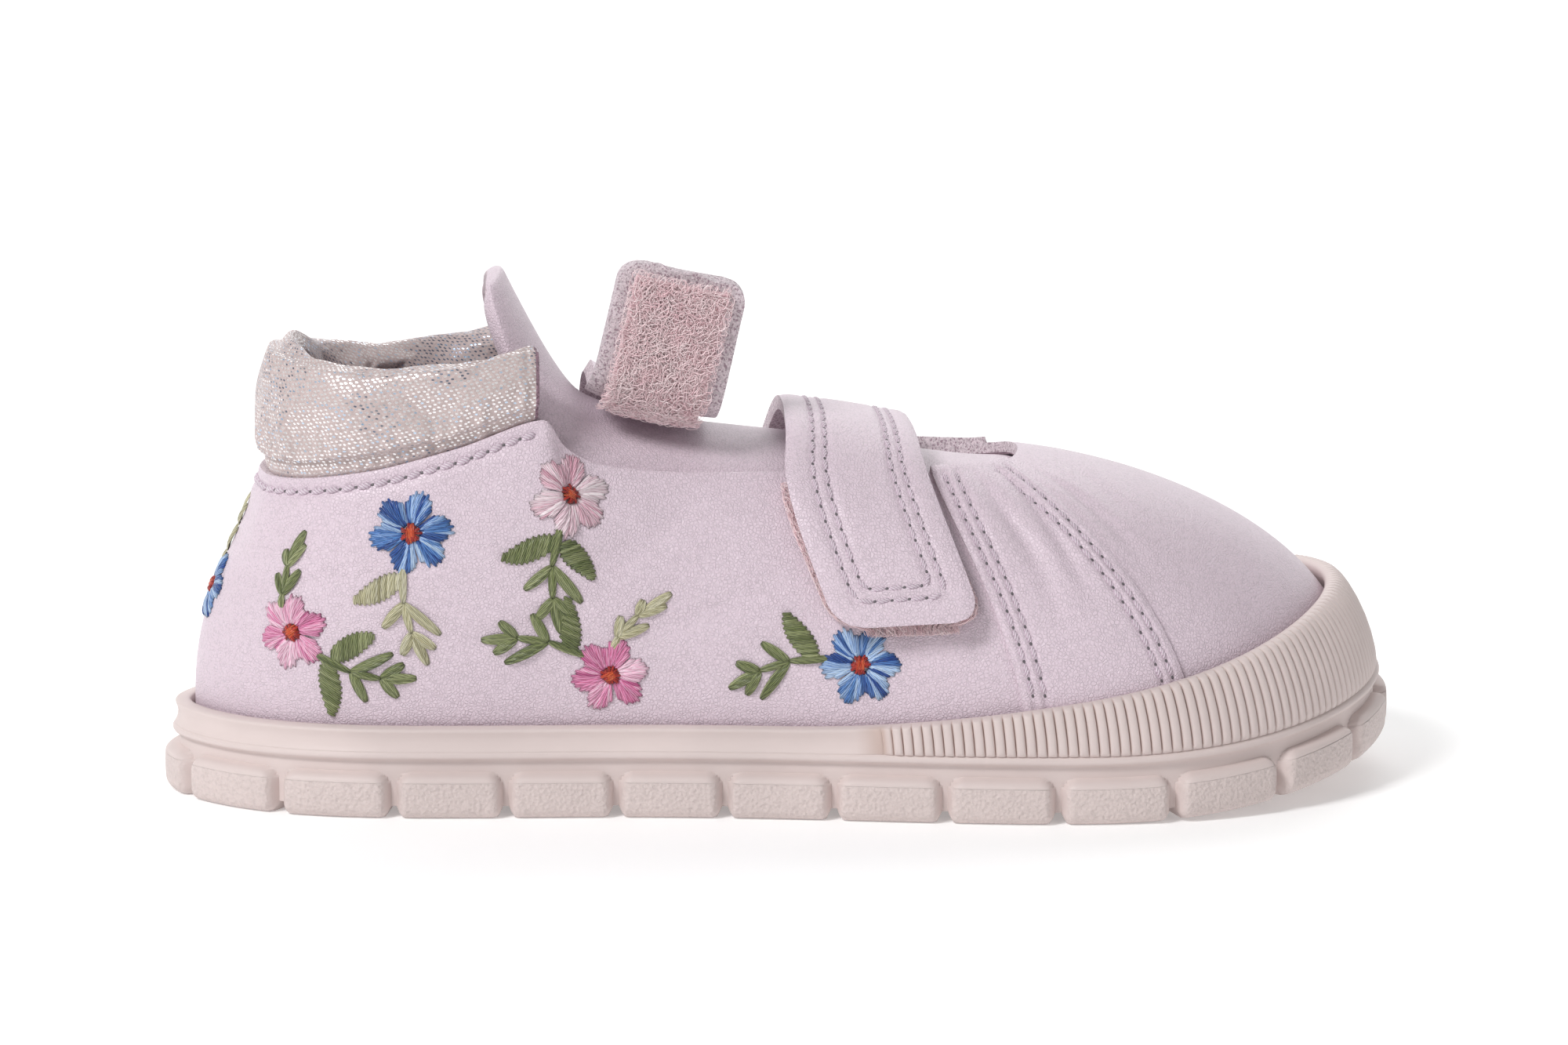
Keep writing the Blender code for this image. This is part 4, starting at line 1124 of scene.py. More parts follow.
def make_panels(context):
    """Model the quarters, the toe panel, the side bands and the lining."""
    leather = look(context, "leather")
    raw = look(context, "raw_edge")
    lining = look(context, "lining")

    def panel(name, turns, grid, stand, dents, wall, rounding, stuff, node=None):
        lay, outward = lay_on_skin(turns, (PANEL_FOOT, 1.0), stand, dents)
        piece = add_sheet(name, *grid, lay, outward)
        thicken(piece, wall, rounding, stuff, flesh=len(stuff) - 1, edge=1)
        finish_piece(piece, (), node)

    lined = (PANEL_WALL, PANEL_ROUND, [leather, raw, lining])
    unlined = (SADDLE_WALL, SADDLE_ROUND, [leather, raw])
    back, front = (edge for edge, _ in SADDLE_EDGES)
    panel("quarters", (-SADDLE_JOIN, SADDLE_JOIN), (350, 64), 0.0, collar_groove, *lined, "upper")
    panel("toe_panel", (SADDLE_JOIN, 2.0 - SADDLE_JOIN), (280, 72), 0.0, None, *lined)
    for side, turns in (("lateral", (back, front)), ("medial", (2.0 - front, 2.0 - back))):
        panel("side_band_" + side, turns, (96, 90), SADDLE_LIFT, saddle_grooves, *unlined)
    lay, outward = lay_on_skin((0.0, 2.0), LINING_RISES, -LINING_DEPTH)
    inside = add_sheet("lining", 240, 30, lay, outward)
    thicken(inside, LINING_WALL, 0.0, [lining])
    return finish_piece(inside, ())


def make_insole(context):
    """Model the cloth-covered insole."""
    heights = PLATFORM + GAP + np.array(COVER_HEIGHTS)
    draws = np.array(COVER_DRAWS)
    edge = len(draws) - 1

    def lay(across, up):
        foot, outward = bed(2.0 * across)
        ring = np.rint(up * COVER_RINGS).astype(int)
        first = np.clip(ring, 0, edge)
        plan = foot + (COVER_REACH - draws[first])[:, None] * outward
        inward = np.clip((ring - edge) / (COVER_RINGS - edge), 0.0, 1.0)[:, None]
        plan = plan + (spine(across) - plan) * inward
        height = heights[first] - COVER_HOLLOW * smooth_step(0.0, 0.7, inward[:, 0]) + spring(plan[:, 0])
        return np.stack([plan[:, 0], plan[:, 1], height], axis=-1)

    piece = add_sheet("footbed", 160, COVER_RINGS, lay)
    weld(piece)
    return finish_piece(piece, [look(context, "lining")], "insole")


def make_tongue(context):
    """Model the tongue: leather outside, cloth inside."""
    across = np.concatenate([TONGUE_WINGS, np.linspace(1.0, 2.0, 9), 3.0 - np.array(TONGUE_WINGS[::-1])])

    def section(station):
        raised, start, end = TONGUE_RISE
        depth = WALL + GAP - raised * smooth_step(start, end, station)
        return girth_point(station, across) - depth[:, None] * girth_normal(station, across)

    def moved(row, pivot, along, height, width, arch, lean):
        cosine = math.cos(math.radians(lean))
        sine = math.sin(math.radians(lean))
        turned = np.array([[cosine, 0.0, sine], [0.0, 1.0, 0.0], [-sine, 0.0, cosine]])
        crest = row[len(row) // 2]
        shaped = crest - pivot + (row - crest) * np.array([arch, width, arch])
        return pivot + np.array([along, 0.0, height]) + shaped @ turned.T

    rows = [section(np.full(len(across), station)) for station in TONGUE_STATIONS]
    tip = [moved(rows[0], girth_point(TONGUE_STATIONS[0], 1.5), *place) for place in TONGUE_TIP]
    tuck = [moved(rows[-1], girth_point(TONGUE_STATIONS[-1], 1.5), *place) for place in TONGUE_TUCK]
    grid = np.array(tip + rows + tuck)

    def lay(sideways, up):
        row = np.rint(up * (len(grid) - 1)).astype(int)
        column = np.rint(sideways * (len(across) - 1)).astype(int)
        return grid[row, column]

    def outward(sideways, up):
        return np.tile((0.0, 0.0, 1.0), (len(up), 1))

    piece = add_sheet("tongue_leather", len(across) - 1, len(grid) - 1, lay, outward)
    thicken(piece, TONGUE_WALL, 0.0, [look(context, "leather"), look(context, "lining")], flesh=1, edge=0)
    smooth = piece.modifiers.new("soft", "SUBSURF")
    smooth.levels = 2
    smooth.render_levels = 2
    bpy.ops.object.modifier_apply(modifier=smooth.name)
    return finish_piece(piece, (), "tongue")


# Collar
def settle(piece, held, slack, cap):
    """Let a padded piece settle on its filling, by a cloth simulation of a copy at a larger scale."""
    scene = bpy.context.scene
    bpy.ops.object.select_all(action="DESELECT")
    piece.select_set(True)
    bpy.context.view_layer.objects.active = piece
    bpy.ops.object.duplicate()
    model = bpy.context.active_object
    start = np.empty(len(model.data.vertices) * 3, np.float32)
    model.data.vertices.foreach_get("co", start)
    model.data.vertices.foreach_set("co", start * CLOTH_SCALE)
    model.data.update()
    seam = model.vertex_groups.new(name="seam")
    seam.add([int(index) for index in np.nonzero(held)[0]], 1.0, "REPLACE")
    cloth = model.modifiers.new("filling", "CLOTH")
    cloth.settings.quality = 6
    cloth.settings.mass = 0.2
    cloth.settings.vertex_group_mass = seam.name
    cloth.settings.use_pressure = True
    cloth.settings.uniform_pressure_force = 4.0
    cloth.settings.shrink_min = -slack
    cloth.settings.effector_weights.gravity = 0.0
    cloth.collision_settings.use_collision = False
    for number in range(1, CLOTH_FRAMES + 1):
        scene.frame_set(number)
    bpy.ops.object.modifier_apply(modifier=cloth.name)
    moved = np.empty_like(start)
    model.data.vertices.foreach_get("co", moved)
    scene.frame_set(1)
    bpy.data.objects.remove(model)
    start = start.reshape(-1, 3)
    move = moved.reshape(-1, 3) / CLOTH_SCALE - start
    length = np.linalg.norm(move, axis=1, keepdims=True) + 1e-9
    limit = cap * MM
    settled = start + move / length * limit * np.tanh(length / limit)
    piece.data.vertices.foreach_set("co", settled.ravel())
    piece.data.update()


def collar_frame(turn):
    """Return base, upward and outward directions and height of the collar along the quarter's top edge."""
    base = skin(turn, 1.0)
    upward = unit(base - skin(turn, 1.0 - TOP_SLOPE))
    upward = unit(upward + np.array([0.0, 0.0, COLLAR_LEAN]))
    outward = skin_normal(turn, np.ones_like(turn))
    outward = unit(outward - upward * (outward * upward).sum(axis=-1, keepdims=True))
    _, station = side_and_station(turn)
    return base, upward, outward, COLLAR_RISE(station)[..., 0]


def make_collar(context):
    """Model the padded collar as a rolled sheet, pulled in at its seam, that ends in raw facing edges."""
    section = closed_curve(COLLAR_SECTION, COLLAR_STEPS)
    middle = section.mean(axis=0)
    section_steps = np.diff(np.vstack([section, section[:1]]), axis=0)
    reach = QUARTER_CORNER - 0.001
    edge_turns = np.linspace(-QUARTER_CORNER, QUARTER_CORNER, 400)
    edge_run = running_length(skin(edge_turns, 1.0))
    marks = {}

    def lay(across, up):
        turn = -reach + 2 * reach * across
        base, upward, outward, height = collar_frame(turn)
        index = np.rint(up * len(section)).astype(int)
        place = section[index % len(section)]
        lengths = np.hypot(section_steps[:, 0] * height[:, None], section_steps[:, 1])
        whole = np.concatenate([np.zeros((len(up), 1)), np.cumsum(lengths, axis=1)], axis=1)
        from_end = np.minimum(across, 1 - across) * 2 * reach * SIDE_LENGTH
        close = 0.74 + 0.26 * quarter_round(from_end / 1.6)
        close = np.where(from_end < 1e-6, 0.0, close)
        part = middle[0] + (place[:, 0] - middle[0]) * close
        out = middle[1] + (place[:, 1] - middle[1]) * close
        pucker = (0.16 * np.sin(turn * 420) + 0.12 * np.sin(turn * 263 + 1.0)
                  + 0.10 * np.sin(turn * 610 + 2.0))
        seam = smooth_step(0.55, 0.05, part) * smooth_step(-1.2, 0.2, out)
        slow = 0.22 * np.sin(turn * 61 + 5 * part) + 0.14 * np.sin(turn * 37 - 9 * part + 1.0)
        out = out + pucker * seam + slow * smooth_step(0.1, 0.5, part)
        marks["to_front"] = from_end
        marks["collar_run"] = np.interp(turn, edge_turns, edge_run)
        marks["collar_up"] = whole[np.arange(len(up)), index]
        marks["above_seam"] = part
        return base + outward * out[:, None] + upward * (GAP + part * height)[:, None]

    piece = add_sheet("padded_collar", COLLAR_COLUMNS, len(section), lay)
    for name, values in marks.items():
        mark(piece, name, values)
    weld(piece)
    near = marked(piece, "to_front")
    held = (marked(piece, "above_seam") < COLLAR_HELD) | (near < COLLAR_FACING)
    settle(piece, held, COLLAR_SLACK, COLLAR_SETTLES)
    finish_piece(piece, [look(context, "shimmer"), look(context, "facing")], "collar", sharp=80)
    for face in piece.data.polygons:
        face.material_index = 1 if max(near[list(face.vertices)]) < COLLAR_FACING else 0
    return piece


# Straps
def strap_station(limits, across, to_end, inset=0.0):
    """Return the station of a place across a strap whose end has rounded corners."""
    short = np.clip(STRAP_CORNER - to_end, 0.0, STRAP_CORNER)
    draw = (inset + STRAP_CORNER - np.sqrt(STRAP_CORNER ** 2 - short ** 2)) / LATERAL_ARC
    return limits[0] + draw + across * (limits[1] - limits[0] - 2 * draw)


LOWER_END = 3.0 - STRAP_END_RISE
LOWER_MIDDLE = sum(LOWER_STRAP) / 2
LOWER_STEP = girth_point(LOWER_MIDDLE, LOWER_END) - girth_point(LOWER_MIDDLE, LOWER_END - NEAR)
LOWER_SPEED = float(np.linalg.norm(LOWER_STEP) / NEAR)
LOWER_LENGTH = (LOWER_END - STRAP_ROOT_RISE) * LOWER_SPEED


def lower_strap_place(across, to_end, stand):
    """Return points and outward directions on the closed strap; to_end is the distance to its loose end."""
    over = LOWER_END - to_end / LOWER_SPEED
    station = strap_station(LOWER_STRAP, across, to_end)
    normal = girth_normal(station, over)
    lift = GAP + (LOOP_THICKNESS + LOOP_GAP) * smooth_step(LANDING[0], LANDING[1], over)
    return girth_point(station, over) + (lift + stand)[:, None] * normal, normal


def flap_profile(count=200):
    """Return lengths along the open flap, its run forward and out, and its turning."""
    length = np.linspace(0.0, FLAP_LENGTH, count)
    turned = FLAP_BEND * smooth_step(0.0, FLAP_BEND_LENGTH, length)
    step = length[1]
    heading = (turned[1:] + turned[:-1]) / 2
    forward = np.concatenate([[0.0], np.cumsum(np.cos(heading) * step)])
    out = np.concatenate([[0.0], np.cumsum(np.sin(heading) * step)])
    return length, forward, out, turned


FLAP = flap_profile()
CROWN_END = 1.0 + FLAP_LEAVES_CROWN
UPPER_MIDDLE = sum(UPPER_STRAP) / 2
FLAP_AHEAD = unit(girth_point(UPPER_MIDDLE, CROWN_END + NEAR) - girth_point(UPPER_MIDDLE, CROWN_END - NEAR))
FLAP_OUT = girth_normal(UPPER_MIDDLE, CROWN_END)


def flap_place(station, length, stand):
    """Return points and outward directions on the free flap of the open strap."""
    forward = np.interp(length, FLAP[0], FLAP[1])[:, None]
    out = np.interp(length, FLAP[0], FLAP[2])[:, None]
    turned = np.interp(length, FLAP[0], FLAP[3])[:, None]
    crown = np.full(len(station), CROWN_END)
    leaving = (girth_normal(station, crown) - FLAP_OUT) * smooth_step(6.0, 0.0, length)[:, None]
    normal = unit(FLAP_OUT * np.cos(turned) - FLAP_AHEAD * np.sin(turned) + leaving)
    point = girth_point(station, crown) + forward * FLAP_AHEAD + out * FLAP_OUT
    return point + stand[:, None] * normal, normal


def lay_by(place, stand):
    """Return functions that lay a sheet by its place on the boot and give its outward way."""

    def lay(across, up):
        return place(across, up, stand(across, up))[0]

    def outward(across, up):
        return place(across, up, np.zeros_like(up))[1]

    return lay, outward


def strap_groove(edge):
    """Return the grooves of the two rows of stitching along a strap's edge."""
    depth, width = STRAP_GROOVE
    return -depth * sum(swell(edge, row, width) for row in STRAP_SEAMS)


def make_strap(context, name, node, rows, place, stand):
    """Model a strap of leather with raw edges and a raw flesh side."""
    piece = add_sheet(name, STRAP_COLUMNS, rows, *lay_by(place, stand))
    stuff = [look(context, "leather"), look(context, "raw_edge")]
    thicken(piece, STRAP_WALL, STRAP_ROUND, stuff, flesh=1, edge=1)
    return finish_piece(piece, (), node)


def make_lower_strap(context):
    """Model the closed strap over the instep."""

    def place(across, up, stand):
        return lower_strap_place(across, LOWER_LENGTH * (1 - up), stand)

    def stand(across, up):
        edge = np.minimum(np.minimum(across, 1 - across) * LOWER_STRAP_WIDTH, LOWER_LENGTH * (1 - up))
        groove = strap_groove(edge) - STRAP_FALL[0] * swell(edge, 0.0, STRAP_FALL[1])
        return STRAP_STAND + groove

    return make_strap(context, "lower_strap", "strap_lower", 220, place, stand)


UPPER_GIRTH = girth_point(np.full(200, UPPER_MIDDLE), np.linspace(STRAP_ROOT_RISE, CROWN_END, 200))
UPPER_CROWN_LENGTH = float(np.linalg.norm(np.diff(UPPER_GIRTH, axis=0), axis=1).sum())


def upper_strap_place(across, up, stand):
    """Return points and outward directions on the open strap: over the instep, then up the free flap."""
    over = STRAP_ROOT_RISE + (CROWN_END - STRAP_ROOT_RISE) * np.clip(up / UPPER_SHARE, 0.0, 1.0)
    length = FLAP_LENGTH * np.clip((up - UPPER_SHARE) / (1 - UPPER_SHARE), 0.0, 1.0)
    station = strap_station(UPPER_STRAP, across, FLAP_LENGTH - length)
    normal = girth_normal(station, over)
    low = girth_point(station, over) + stand[:, None] * normal
    high, high_normal = flap_place(station, length, stand)
    free = (up > UPPER_SHARE)[:, None]
    return np.where(free, high, low), np.where(free, high_normal, normal)


def make_upper_strap(context):
    """Model the open strap with its flap standing up."""

    def stand(across, up):
        edge = np.minimum(across, 1 - across) * UPPER_STRAP_WIDTH
        wave = 0.10 * np.sin(across * 9 + up * 14) * smooth_step(UPPER_SHARE, 1.0, up)
        groove = strap_groove(edge) * smooth_step(1.0, 0.9, up)
        return GAP + STRAP_STAND + groove + wave

    return make_strap(context, "upper_strap", "strap_upper", 200, upper_strap_place, stand)


def upper_patch_place(across, down, stand):
    """Return points and outward directions of the loop fabric on the open flap's underside."""
    length = PATCH_START + down * (FLAP_LENGTH - LOOP_INSET * 0.75 - PATCH_START)
    station = strap_station(UPPER_STRAP, across, FLAP_LENGTH - length + LOOP_INSET, inset=LOOP_INSET)
    point, normal = flap_place(station, length, GAP - 0.05 - stand)
    return point, -normal


def lower_patch_place(across, down, stand):
    """Return points and outward directions of the loop fabric under the closed strap's end."""
    over = LANDING[1] + down * (LOWER_END - LANDING[1])
    station = strap_station(LOWER_STRAP, across, (LOWER_END - over) * LOWER_SPEED, inset=0.15)
    normal = girth_normal(station, over)
    return girth_point(station, over) + stand[:, None] * normal, normal


def curled_fibres(place, size, count, tall, seed):
    """Return paths and directions of loose curled fibres over a patch of the given width and length."""
    rng = np.random.default_rng(seed)
    start = rng.random((count, 2)) * np.array([0.96, 0.97]) + np.array([0.02, 0.02])
    heading = rng.random(count) * 2 * math.pi
    bend = rng.normal(0.0, 1.0, count) * FIBRE_CURL
    step = rng.uniform(0.18, 0.42, count)
    spots = np.zeros((count, FIBRE_STEPS, 2))
    spots[:, 0] = start
    for k in range(1, FIBRE_STEPS):
        heading = heading + bend + rng.normal(0.0, 0.25, count)
        move = np.stack([np.cos(heading) * step / size[0], np.sin(heading) * step / size[1]], axis=-1)
        spots[:, k] = spots[:, k - 1] + move
    folded = np.mod((spots + FIBRE_SPILL) / FIBRE_FIELD, 2.0)
    flat = (FIBRE_FIELD * (1 - np.abs(1 - folded)) - FIBRE_SPILL).reshape(-1, 2)
    arch = np.sin(np.linspace(0.15, math.pi, FIBRE_STEPS)) ** 0.7
    height = rng.uniform(0.15, 1.0, count)[:, None] * tall * arch
    points, normals = place(flat[:, 0], flat[:, 1], height.ravel())
    return points.reshape(count, FIBRE_STEPS, 3), normals.reshape(count, FIBRE_STEPS, 3), rng


def fibre_piece(context, name, patches, seed, base_stand, tall):
    """Make the loose fibres of a loop fabric as one joined piece; patches hold place, size and count."""
    dark = np.array(context.scene.boot_colours.loop)
    light = np.array(FIBRE_LIGHT)
    groups = []
    for number, (place, size, count) in enumerate(patches):
        def lifted(across, down, height, place=place):
            return place(across, down, base_stand + height)

        paths, normals, rng = curled_fibres(lifted, size, count, tall, seed + number)
        tone = dark + (light - dark) * rng.random(count)[:, None] ** 0.7
        tones = np.repeat(tone[:, None, :], FIBRE_STEPS, axis=1)
        groups.append((paths, normals, np.full(count, FIBRE_WIDTH), tones))
    paths, normals, widths, tones = (np.concatenate(group) for group in zip(*groups))
    piece = mesh_piece(name, *thread_arrays(paths, normals, widths, widths * 0.9, tones, sides=3))
    return finish_piece(piece, [look(context, "fibre")], sharp=90)


def make_loop_fabric(context):
    """Model both loop patches: a matted ground each, and the loose fibres on it."""
    count = context.scene.boot_sizes.fibres
    lumps = np.random.default_rng(FLUFF_SEED).random((12, 3))

    def ground(name, node, grid, place, thickness):
        def stand(across, down):
            fluff = sum(0.10 * np.sin(9 * a * across + 17 * b * down + 6 * c) for a, b, c in lumps)
            rim = np.minimum(np.minimum(across, 1 - across) * 12, np.minimum(down, 1 - down) * 16)
            return thickness * quarter_round(rim / 0.8) + 0.35 * fluff * smooth_step(0.2, 1.2, rim)

        piece = add_sheet(name, *grid, *lay_by(place, stand))
        finish_piece(piece, [look(context, "fuzz")], node)

    def back_rim(across, down, stand):
        return lower_patch_place(0.10 * across - 0.035, down, stand)

    def front_rim(across, down, stand):
        return lower_patch_place(1.035 - 0.10 * across, down, stand)

    def end_rim(across, down, stand):
        return lower_patch_place(across, 1.05 - 0.14 * down, stand)

    ground("upper_loop_ground", "loop_patch_upper", (48, 72), upper_patch_place, 1.0)
    patches = [(upper_patch_place, UPPER_PATCH, count)]
    fibre_piece(context, "upper_loop_fibres", patches, FIBRE_SEEDS[0], base_stand=0.85, tall=0.75)
    ground("lower_loop_ground", "loop_patch_lower", (56, 48), lower_patch_place, GAP + LOOP_THICKNESS)
    rims = ((back_rim, SIDE_RIM), (front_rim, SIDE_RIM), (end_rim, END_RIM))
    patches = [(place, size, count // RIM_SHARE) for place, size in rims]
    fibre_piece(context, "lower_loop_fibres", patches, FIBRE_SEEDS[1], base_stand=0.5, tall=0.8)


# Stitching
def even_spots(points, normals, pitch):
    """Return evenly spaced middles, ways, normals and needle holes along a dense row of points."""
    way = running_length(points)
    count = max(int(way[-1] / pitch), 1)
    at = (np.arange(count) + 0.5) * way[-1] / count

    def sample(values, places):
        return np.stack([np.interp(places, way, values[:, k]) for k in range(3)], axis=-1)

    half = 0.3 * pitch
    ahead = unit(sample(points, at + half) - sample(points, at - half))
    return sample(points, at), ahead, unit(sample(normals, at)), sample(points, at - pitch * 0.5)


def stitch_model():
    """Model one stitch as a stretched ball and return its points and four-sided faces."""
    bpy.ops.object.select_all(action="DESELECT")
    bpy.ops.mesh.primitive_grid_add(x_subdivisions=8, y_subdivisions=7, size=1.0)
    model = bpy.context.active_object
    flat = np.array([vert.co for vert in model.data.vertices]) + 0.5
    faces = np.array([list(face.vertices) for face in model.data.polygons])
    bpy.data.objects.remove(model)
    along = 2 * flat[:, 1] - 1
    turn = 2 * math.pi * flat[:, 0]
    radius = np.sqrt(np.clip(1 - np.abs(along) ** 2.4, 0.0, 1.0)) + 0.02
    return np.stack([along, np.cos(turn) * radius, np.sin(turn) * radius], axis=-1), faces


def make_stitch_rows(context, name, rows, tone):
    """Copy the stitch along rows of points, normals and weight, with a small dark copy of it at each end as
    painted shade in the needle hole.
    """
    pitch = context.scene.boot_sizes.stitch_pitch / MM
    length = context.scene.boot_sizes.stitch_length / MM
    model, model_faces = stitch_model()
    lengthwise, crosswise, over = np.split(model, 3, axis=1)
    rng = np.random.default_rng(STITCH_SEED)
    points = []
    faces = []
    tones = []
    along = []
    base = 0
    for row_points, row_normals, weight in rows:
        spots, ahead, normals, holes = even_spots(row_points, row_normals, pitch)
        sideways = np.cross(normals, ahead)
        for spot, way, normal, side, hole in zip(spots, ahead, normals, sideways, holes):
            way = unit(way + rng.normal(*STITCH_SLANT) * weight * side)
            side = np.cross(normal, way)
            half = length * rng.uniform(0.95, 1.05) / 2
            bow = over * STITCH_HEIGHT * weight + 0.10 * (weight - 1) - 0.15 * weight * lengthwise ** 2 + 0.03
            body = spot + lengthwise * way * half + crosswise * side * STITCH_WIDTH * weight + bow * normal
            # painted shade: a small, very dark copy of the stitch sits at each needle hole, standing in for
            # the shadow in the hole
            dent = (lengthwise * way * 1.3 + crosswise * side * 0.9) * NEEDLE_HOLE
            needle_hole_shade_blob = hole + dent + over * 0.05 * normal
            twist = model[:, 0] * half + model[:, 1] * 0.3
            copies = ((rng.uniform(0.96, 1.06), body, twist), (NEEDLE_HOLE_PAINTED_SHADE, needle_hole_shade_blob, np.zeros(len(model))))
            for part, shape, run in copies:
                points.append(shape)
                tones.append(np.tile(np.array(tone) * part, (len(shape), 1)))
                along.append(run)
                faces.append(model_faces + base)
                base += len(shape)
    piece = mesh_piece(name, np.vstack(points), np.vstack(faces), np.vstack(tones), np.concatenate(along))
    return finish_piece(piece, [look(context, "seam")], sharp=90)


def skin_row(turn, rise, stand, weight):
    """Return a row of points a little above the upper, with its normals and the weight of its thread."""
    normal = skin_normal(turn, rise)
    return skin(turn, rise) + (stand + soft_shape(turn, rise))[:, None] * normal, normal, weight


def seam_rows():
    """Return the rows of stitching on the upper: along the collar, and two by each edge of the side bands."""
    turn = np.linspace(-QUARTER_CORNER + 0.006, QUARTER_CORNER - 0.006, 500)
    slope = np.linalg.norm(skin(turn, 1.0) - skin(turn, 1.0 - TOP_SLOPE), axis=-1) / TOP_SLOPE
    rows = [skin_row(turn, 1.0 - COLLAR_SEAM / slope, -0.10, COLLAR_THREAD)]
    rise = np.linspace(0.2, 0.96, 300)
    for medial in (False, True):
        for edge, way in SADDLE_EDGES:
            for distance in SEAM_ROWS:
                station = np.full(len(rise), edge)
                station = station + way * distance / turn_speed(station, rise)
                over = rise > rise_at_height(station, rim_height(station) + 0.3)
                turn = 2.0 - station if medial else station
                rows.append(skin_row(turn[over], rise[over], SADDLE_LIFT - 0.2, 1.0))
    return rows


def strap_loop(inset, width, length):
    """Return a stitched loop inside a strap's outline: places across it and distances from its root."""
    corner = max(STRAP_CORNER - inset * 0.4, 1.0)
    bend = np.linspace(0.0, math.pi / 2, 24)
    side = np.linspace(inset * 0.6, length - inset - corner, 300)
    across = np.concatenate([np.full(300, inset), inset + corner * (1 - np.cos(bend))]) / width
    way = np.concatenate([side, length - inset - corner * (1 - np.sin(bend))])
    root = np.linspace(1 - across[0], across[0], 60)
    return (np.concatenate([across, 1 - across[::-1], root]),
            np.concatenate([way, way[::-1], np.full(60, inset * 0.6)]))


def strap_rows():
    """Return the double rows of stitching round each strap."""
    rows = []
    for inset in STRAP_SEAMS:
        across, way = strap_loop(inset, LOWER_SEAM_WIDTH, LOWER_LENGTH)
        stand = np.where(way > inset * 0.6, LOWER_STITCH_STAND, ROOT_STITCH_STAND)
        rows.append((*lower_strap_place(across, LOWER_LENGTH - way, stand), 1.0))
        across, way = strap_loop(inset, UPPER_STRAP_WIDTH, UPPER_CROWN_LENGTH + FLAP_LENGTH)
        up = np.where(way < UPPER_CROWN_LENGTH, UPPER_SHARE * way / UPPER_CROWN_LENGTH,
                      UPPER_SHARE + (1 - UPPER_SHARE) * (way - UPPER_CROWN_LENGTH) / FLAP_LENGTH)
        stand = np.where(way > inset * 0.6, UPPER_STITCH_STAND, ROOT_STITCH_STAND)
        stand = stand + 0.14 * smooth_step(0.86, 0.94, up)
        rows.append((*upper_strap_place(across, up, GAP + stand), 1.0))
    return rows


# Embroidery
def find_place(along, height, medial=False):
    """Return the turn and rise of a place on the side of the upper, given along the last and in height."""
    low, high = 0.0, 0.95
    for _ in range(24):
        middle = (low + high) / 2
        turn = np.array(2.0 - middle if medial else middle)
        if skin(turn, rise_at_height(turn, height))[0] < along:
            low = middle
        else:
            high = middle
    turn = 2.0 - low if medial else low
    return turn, float(rise_at_height(np.array(turn), height))


def at_angle(angle, reach):
    """Return a flat place at an angle and a distance from the flower's middle."""
    return math.cos(angle) * reach, math.sin(angle) * reach


